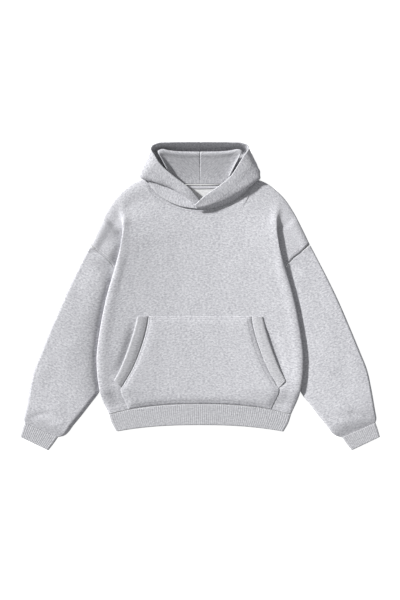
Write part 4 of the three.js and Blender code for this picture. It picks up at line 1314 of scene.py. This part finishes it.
class HOODIE_OT_sleeves(bpy.types.Operator):
    """Makes the two sleeves"""
    bl_idname = "hoodie.sleeves"
    bl_label = "Sleeves"

    def execute(self, context):
        sizes, looks = context.scene.hoodie_sizes, materials_of(context)
        layers = Layers(sizes.fleece)
        for name, side in SIDES:
            sections = sleeve_sections(side, sizes.fleece, layers)
            piece = tube(f"{name}_sleeve", sections, looks["Fleece Face"], SLEEVE_GRAIN * side)
            finish_piece(piece, f"sleeve_{name}", "fleece", *tube_cut(sections), [])
        return {"FINISHED"}


class HOODIE_OT_ribs(bpy.types.Operator):
    """Makes the hem rib and the cuffs"""
    bl_idname = "hoodie.ribs"
    bl_label = "Hem and cuffs"

    def execute(self, context):
        sizes, looks = context.scene.hoodie_sizes, materials_of(context)
        sections = hem_sections(sizes.rib_knit, sizes.rib_pitch, sizes.rib_rise)
        piece = tube("hem_band", sections, looks["Rib Knit"], 0)
        finish_piece(piece, "hem_rib", "rib_knit", *tube_cut(sections), [])
        for name, side in SIDES:
            sections = cuff_sections(side, sizes.rib_knit, sizes.rib_pitch, sizes.rib_rise)
            piece = tube(f"{name}_cuff", sections, looks["Rib Knit"], SLEEVE_GRAIN * side)
            finish_piece(piece, f"cuff_{name}", "rib_knit", *tube_cut(sections), [])
        return {"FINISHED"}


class HOODIE_OT_pocket(bpy.types.Operator):
    """Makes the kangaroo pocket and its rib bands"""
    bl_idname = "hoodie.pocket"
    bl_label = "Pocket"

    def execute(self, context):
        sizes, looks = context.scene.hoodie_sizes, materials_of(context)
        layers = Layers(sizes.fleece)
        upper, lower = pocket_grids(layers)
        piece = wall_mesh("pocket_panel", upper, lower, looks["Fleece Face"])
        finish_piece(piece, "pocket", "fleece", *cut_of(lower), ["front_panel"])
        for name, side in SIDES:
            upper, lower = band_grids(side, layers, sizes.rib_pitch, sizes.rib_rise)
            piece = wall_mesh(f"{name}_pocket_band", upper, lower, looks["Rib Knit"])
            finish_piece(piece, f"pocket_band_{name}", "rib_knit", *cut_of(lower), ["front_panel"])
        return {"FINISHED"}


class HOODIE_OT_hood(bpy.types.Operator):
    """Makes the two hood halves, the inside of the hood and the neck tape"""
    bl_idname = "hoodie.hood"
    bl_label = "Hood"

    def execute(self, context):
        looks = materials_of(context)
        for name, side, rows in HOOD_HALVES:
            grid = hood_grid(rows, side)
            piece = rounded_wall(f"{name}_hood", grid, HOOD_WALL, looks["Fleece Face"])
            finish_piece(piece, f"hood_{name}", "fleece", *cut_of(grid), ["front_panel"])
            grid = inside_grid(side)
            # The inside of the hood takes the lining material, whose darker colour is painted shade
            piece = sheet_wall(f"{name}_hood_inside", grid, LINING, looks["Hood Lining Painted Shade"])
            finish_piece(piece, f"hood_lining_{name}", "hood_lining", *cut_of(grid), [f"{name}_hood"])
        upper, lower = tape_grids()
        piece = wall_mesh("neck_band", upper, lower, looks["Neck Tape"])
        (width, _), area = cut_of(lower)
        finish_piece(piece, "neck_tape", "tape", (width, TAPE_WIDTH), area, ["back_panel"])
        return {"FINISHED"}


class HOODIE_OT_stitches(bpy.types.Operator):
    """Sets the lines of stitches on the pieces"""
    bl_idname = "hoodie.stitches"
    bl_label = "Stitches"

    def execute(self, context):
        sizes, looks = context.scene.hoodie_sizes, materials_of(context)
        tree = stitch_tree(looks["Sewing Thread And Painted Groove Shade"])
        seams = [draped(names, line) for names, line in sewn_lines()]
        hood = [line * MM for line in hood_lines()]
        for name, lines in (("seam_stitches", seams), ("hood_stitches", hood)):
            piece = sewn_piece(name, lines, tree, sizes.stitch, sizes.thread)
            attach(piece, BODY)
        return {"FINISHED"}


FLOOR_REACH = 6.0
FLOOR_Z = -0.0004
FLOOR_GLOW = 0.9
SUN_ENERGY = 5.6
SUN_ANGLE = 5
SUN_TOWARDS = (-0.78, 0.47, 0.42)
SKY_COLOUR = (0.97, 0.98, 1.0, 1)
SKY_STRENGTH = 0.3
VIEW_HEIGHT = 1.74
VIEW_DISTANCE = 4.0
VIEW_CENTRE_Y = -0.011
SENSOR_WIDTH = 36.0


def add_floor():
    """Pale floor that shows white to the camera and lights nothing."""
    mesh = bpy.data.meshes.new("floor")
    signs = ((-1, -1), (1, -1), (1, 1), (-1, 1))
    mesh.from_pydata([(x * FLOOR_REACH, y * FLOOR_REACH, FLOOR_Z) for x, y in signs], [], [(0, 1, 2, 3)])
    linked("floor", mesh)
    material = bpy.data.materials.new("Pale Floor")
    material.use_nodes = True
    tree = material.node_tree
    shader = tree.nodes["Principled BSDF"]
    shader.inputs["Base Color"].default_value = (0.5, 0.5, 0.5, 1)
    shader.inputs["Roughness"].default_value = 0.9
    shader.inputs["Emission Color"].default_value = (1, 1, 1, 1)
    path = tree.nodes.new("ShaderNodeLightPath")
    glow = add_math(tree, "MULTIPLY", path.outputs["Is Camera Ray"], FLOOR_GLOW)
    tree.links.new(glow, shader.inputs["Emission Strength"])
    mesh.materials.append(material)


def add_light(scene):
    sun = bpy.data.lights.new("key", "SUN")
    sun.energy, sun.angle = SUN_ENERGY, math.radians(SUN_ANGLE)
    key = linked("key", sun)
    key.rotation_mode = "QUATERNION"
    key.rotation_quaternion = Vector(SUN_TOWARDS).to_track_quat("Z", "Y")
    world = bpy.data.worlds.new("studio")
    world.use_nodes = True
    sky = world.node_tree.nodes["Background"].inputs
    sky["Color"].default_value = SKY_COLOUR
    sky["Strength"].default_value = SKY_STRENGTH
    scene.world = world


def add_camera(scene):
    """Camera that looks straight down, as in the photo."""
    camera = linked("camera", bpy.data.cameras.new("camera"))
    camera.data.sensor_width = SENSOR_WIDTH
    camera.data.lens = SENSOR_WIDTH * VIEW_DISTANCE / VIEW_HEIGHT
    camera.location = (0.0, VIEW_CENTRE_Y, VIEW_DISTANCE)
    scene.camera = camera


class HOODIE_OT_stage(bpy.types.Operator):
    """Makes the floor, the lights and the camera"""
    bl_idname = "hoodie.stage"
    bl_label = "Stage"

    def execute(self, context):
        add_floor()
        add_light(context.scene)
        add_camera(context.scene)
        context.scene.view_settings.view_transform = "Standard"
        return {"FINISHED"}


class HOODIE_PT_panel(bpy.types.Panel):
    """Sizes, colours and the steps that make the hoodie"""
    bl_idname = "HOODIE_PT_panel"
    bl_label = "Hoodie"
    bl_space_type = "VIEW_3D"
    bl_region_type = "UI"
    bl_category = "Hoodie"

    def draw(self, context):
        for group in (context.scene.hoodie_sizes, context.scene.hoodie_colours):
            for name in group.__annotations__:
                self.layout.prop(group, name)
        for step in STEPS:
            self.layout.operator(step.bl_idname)


STEPS = (
    HOODIE_OT_stage, HOODIE_OT_body, HOODIE_OT_sleeves, HOODIE_OT_ribs, HOODIE_OT_pocket, HOODIE_OT_hood,
    HOODIE_OT_stitches,
)
CLASSES = (HoodieSizes, HoodieColours) + STEPS + (HOODIE_PT_panel,)


def register():
    for item in CLASSES:
        bpy.utils.register_class(item)
    bpy.types.Scene.hoodie_sizes = bpy.props.PointerProperty(type=HoodieSizes)
    bpy.types.Scene.hoodie_colours = bpy.props.PointerProperty(type=HoodieColours)


def unregister():
    del bpy.types.Scene.hoodie_sizes
    del bpy.types.Scene.hoodie_colours
    for item in reversed(CLASSES):
        bpy.utils.unregister_class(item)


def main():
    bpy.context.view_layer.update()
    register()
    for step in STEPS:
        group, name = step.bl_idname.split(".")
        getattr(getattr(bpy.ops, group), name)()


if __name__ == "__main__":
    main()
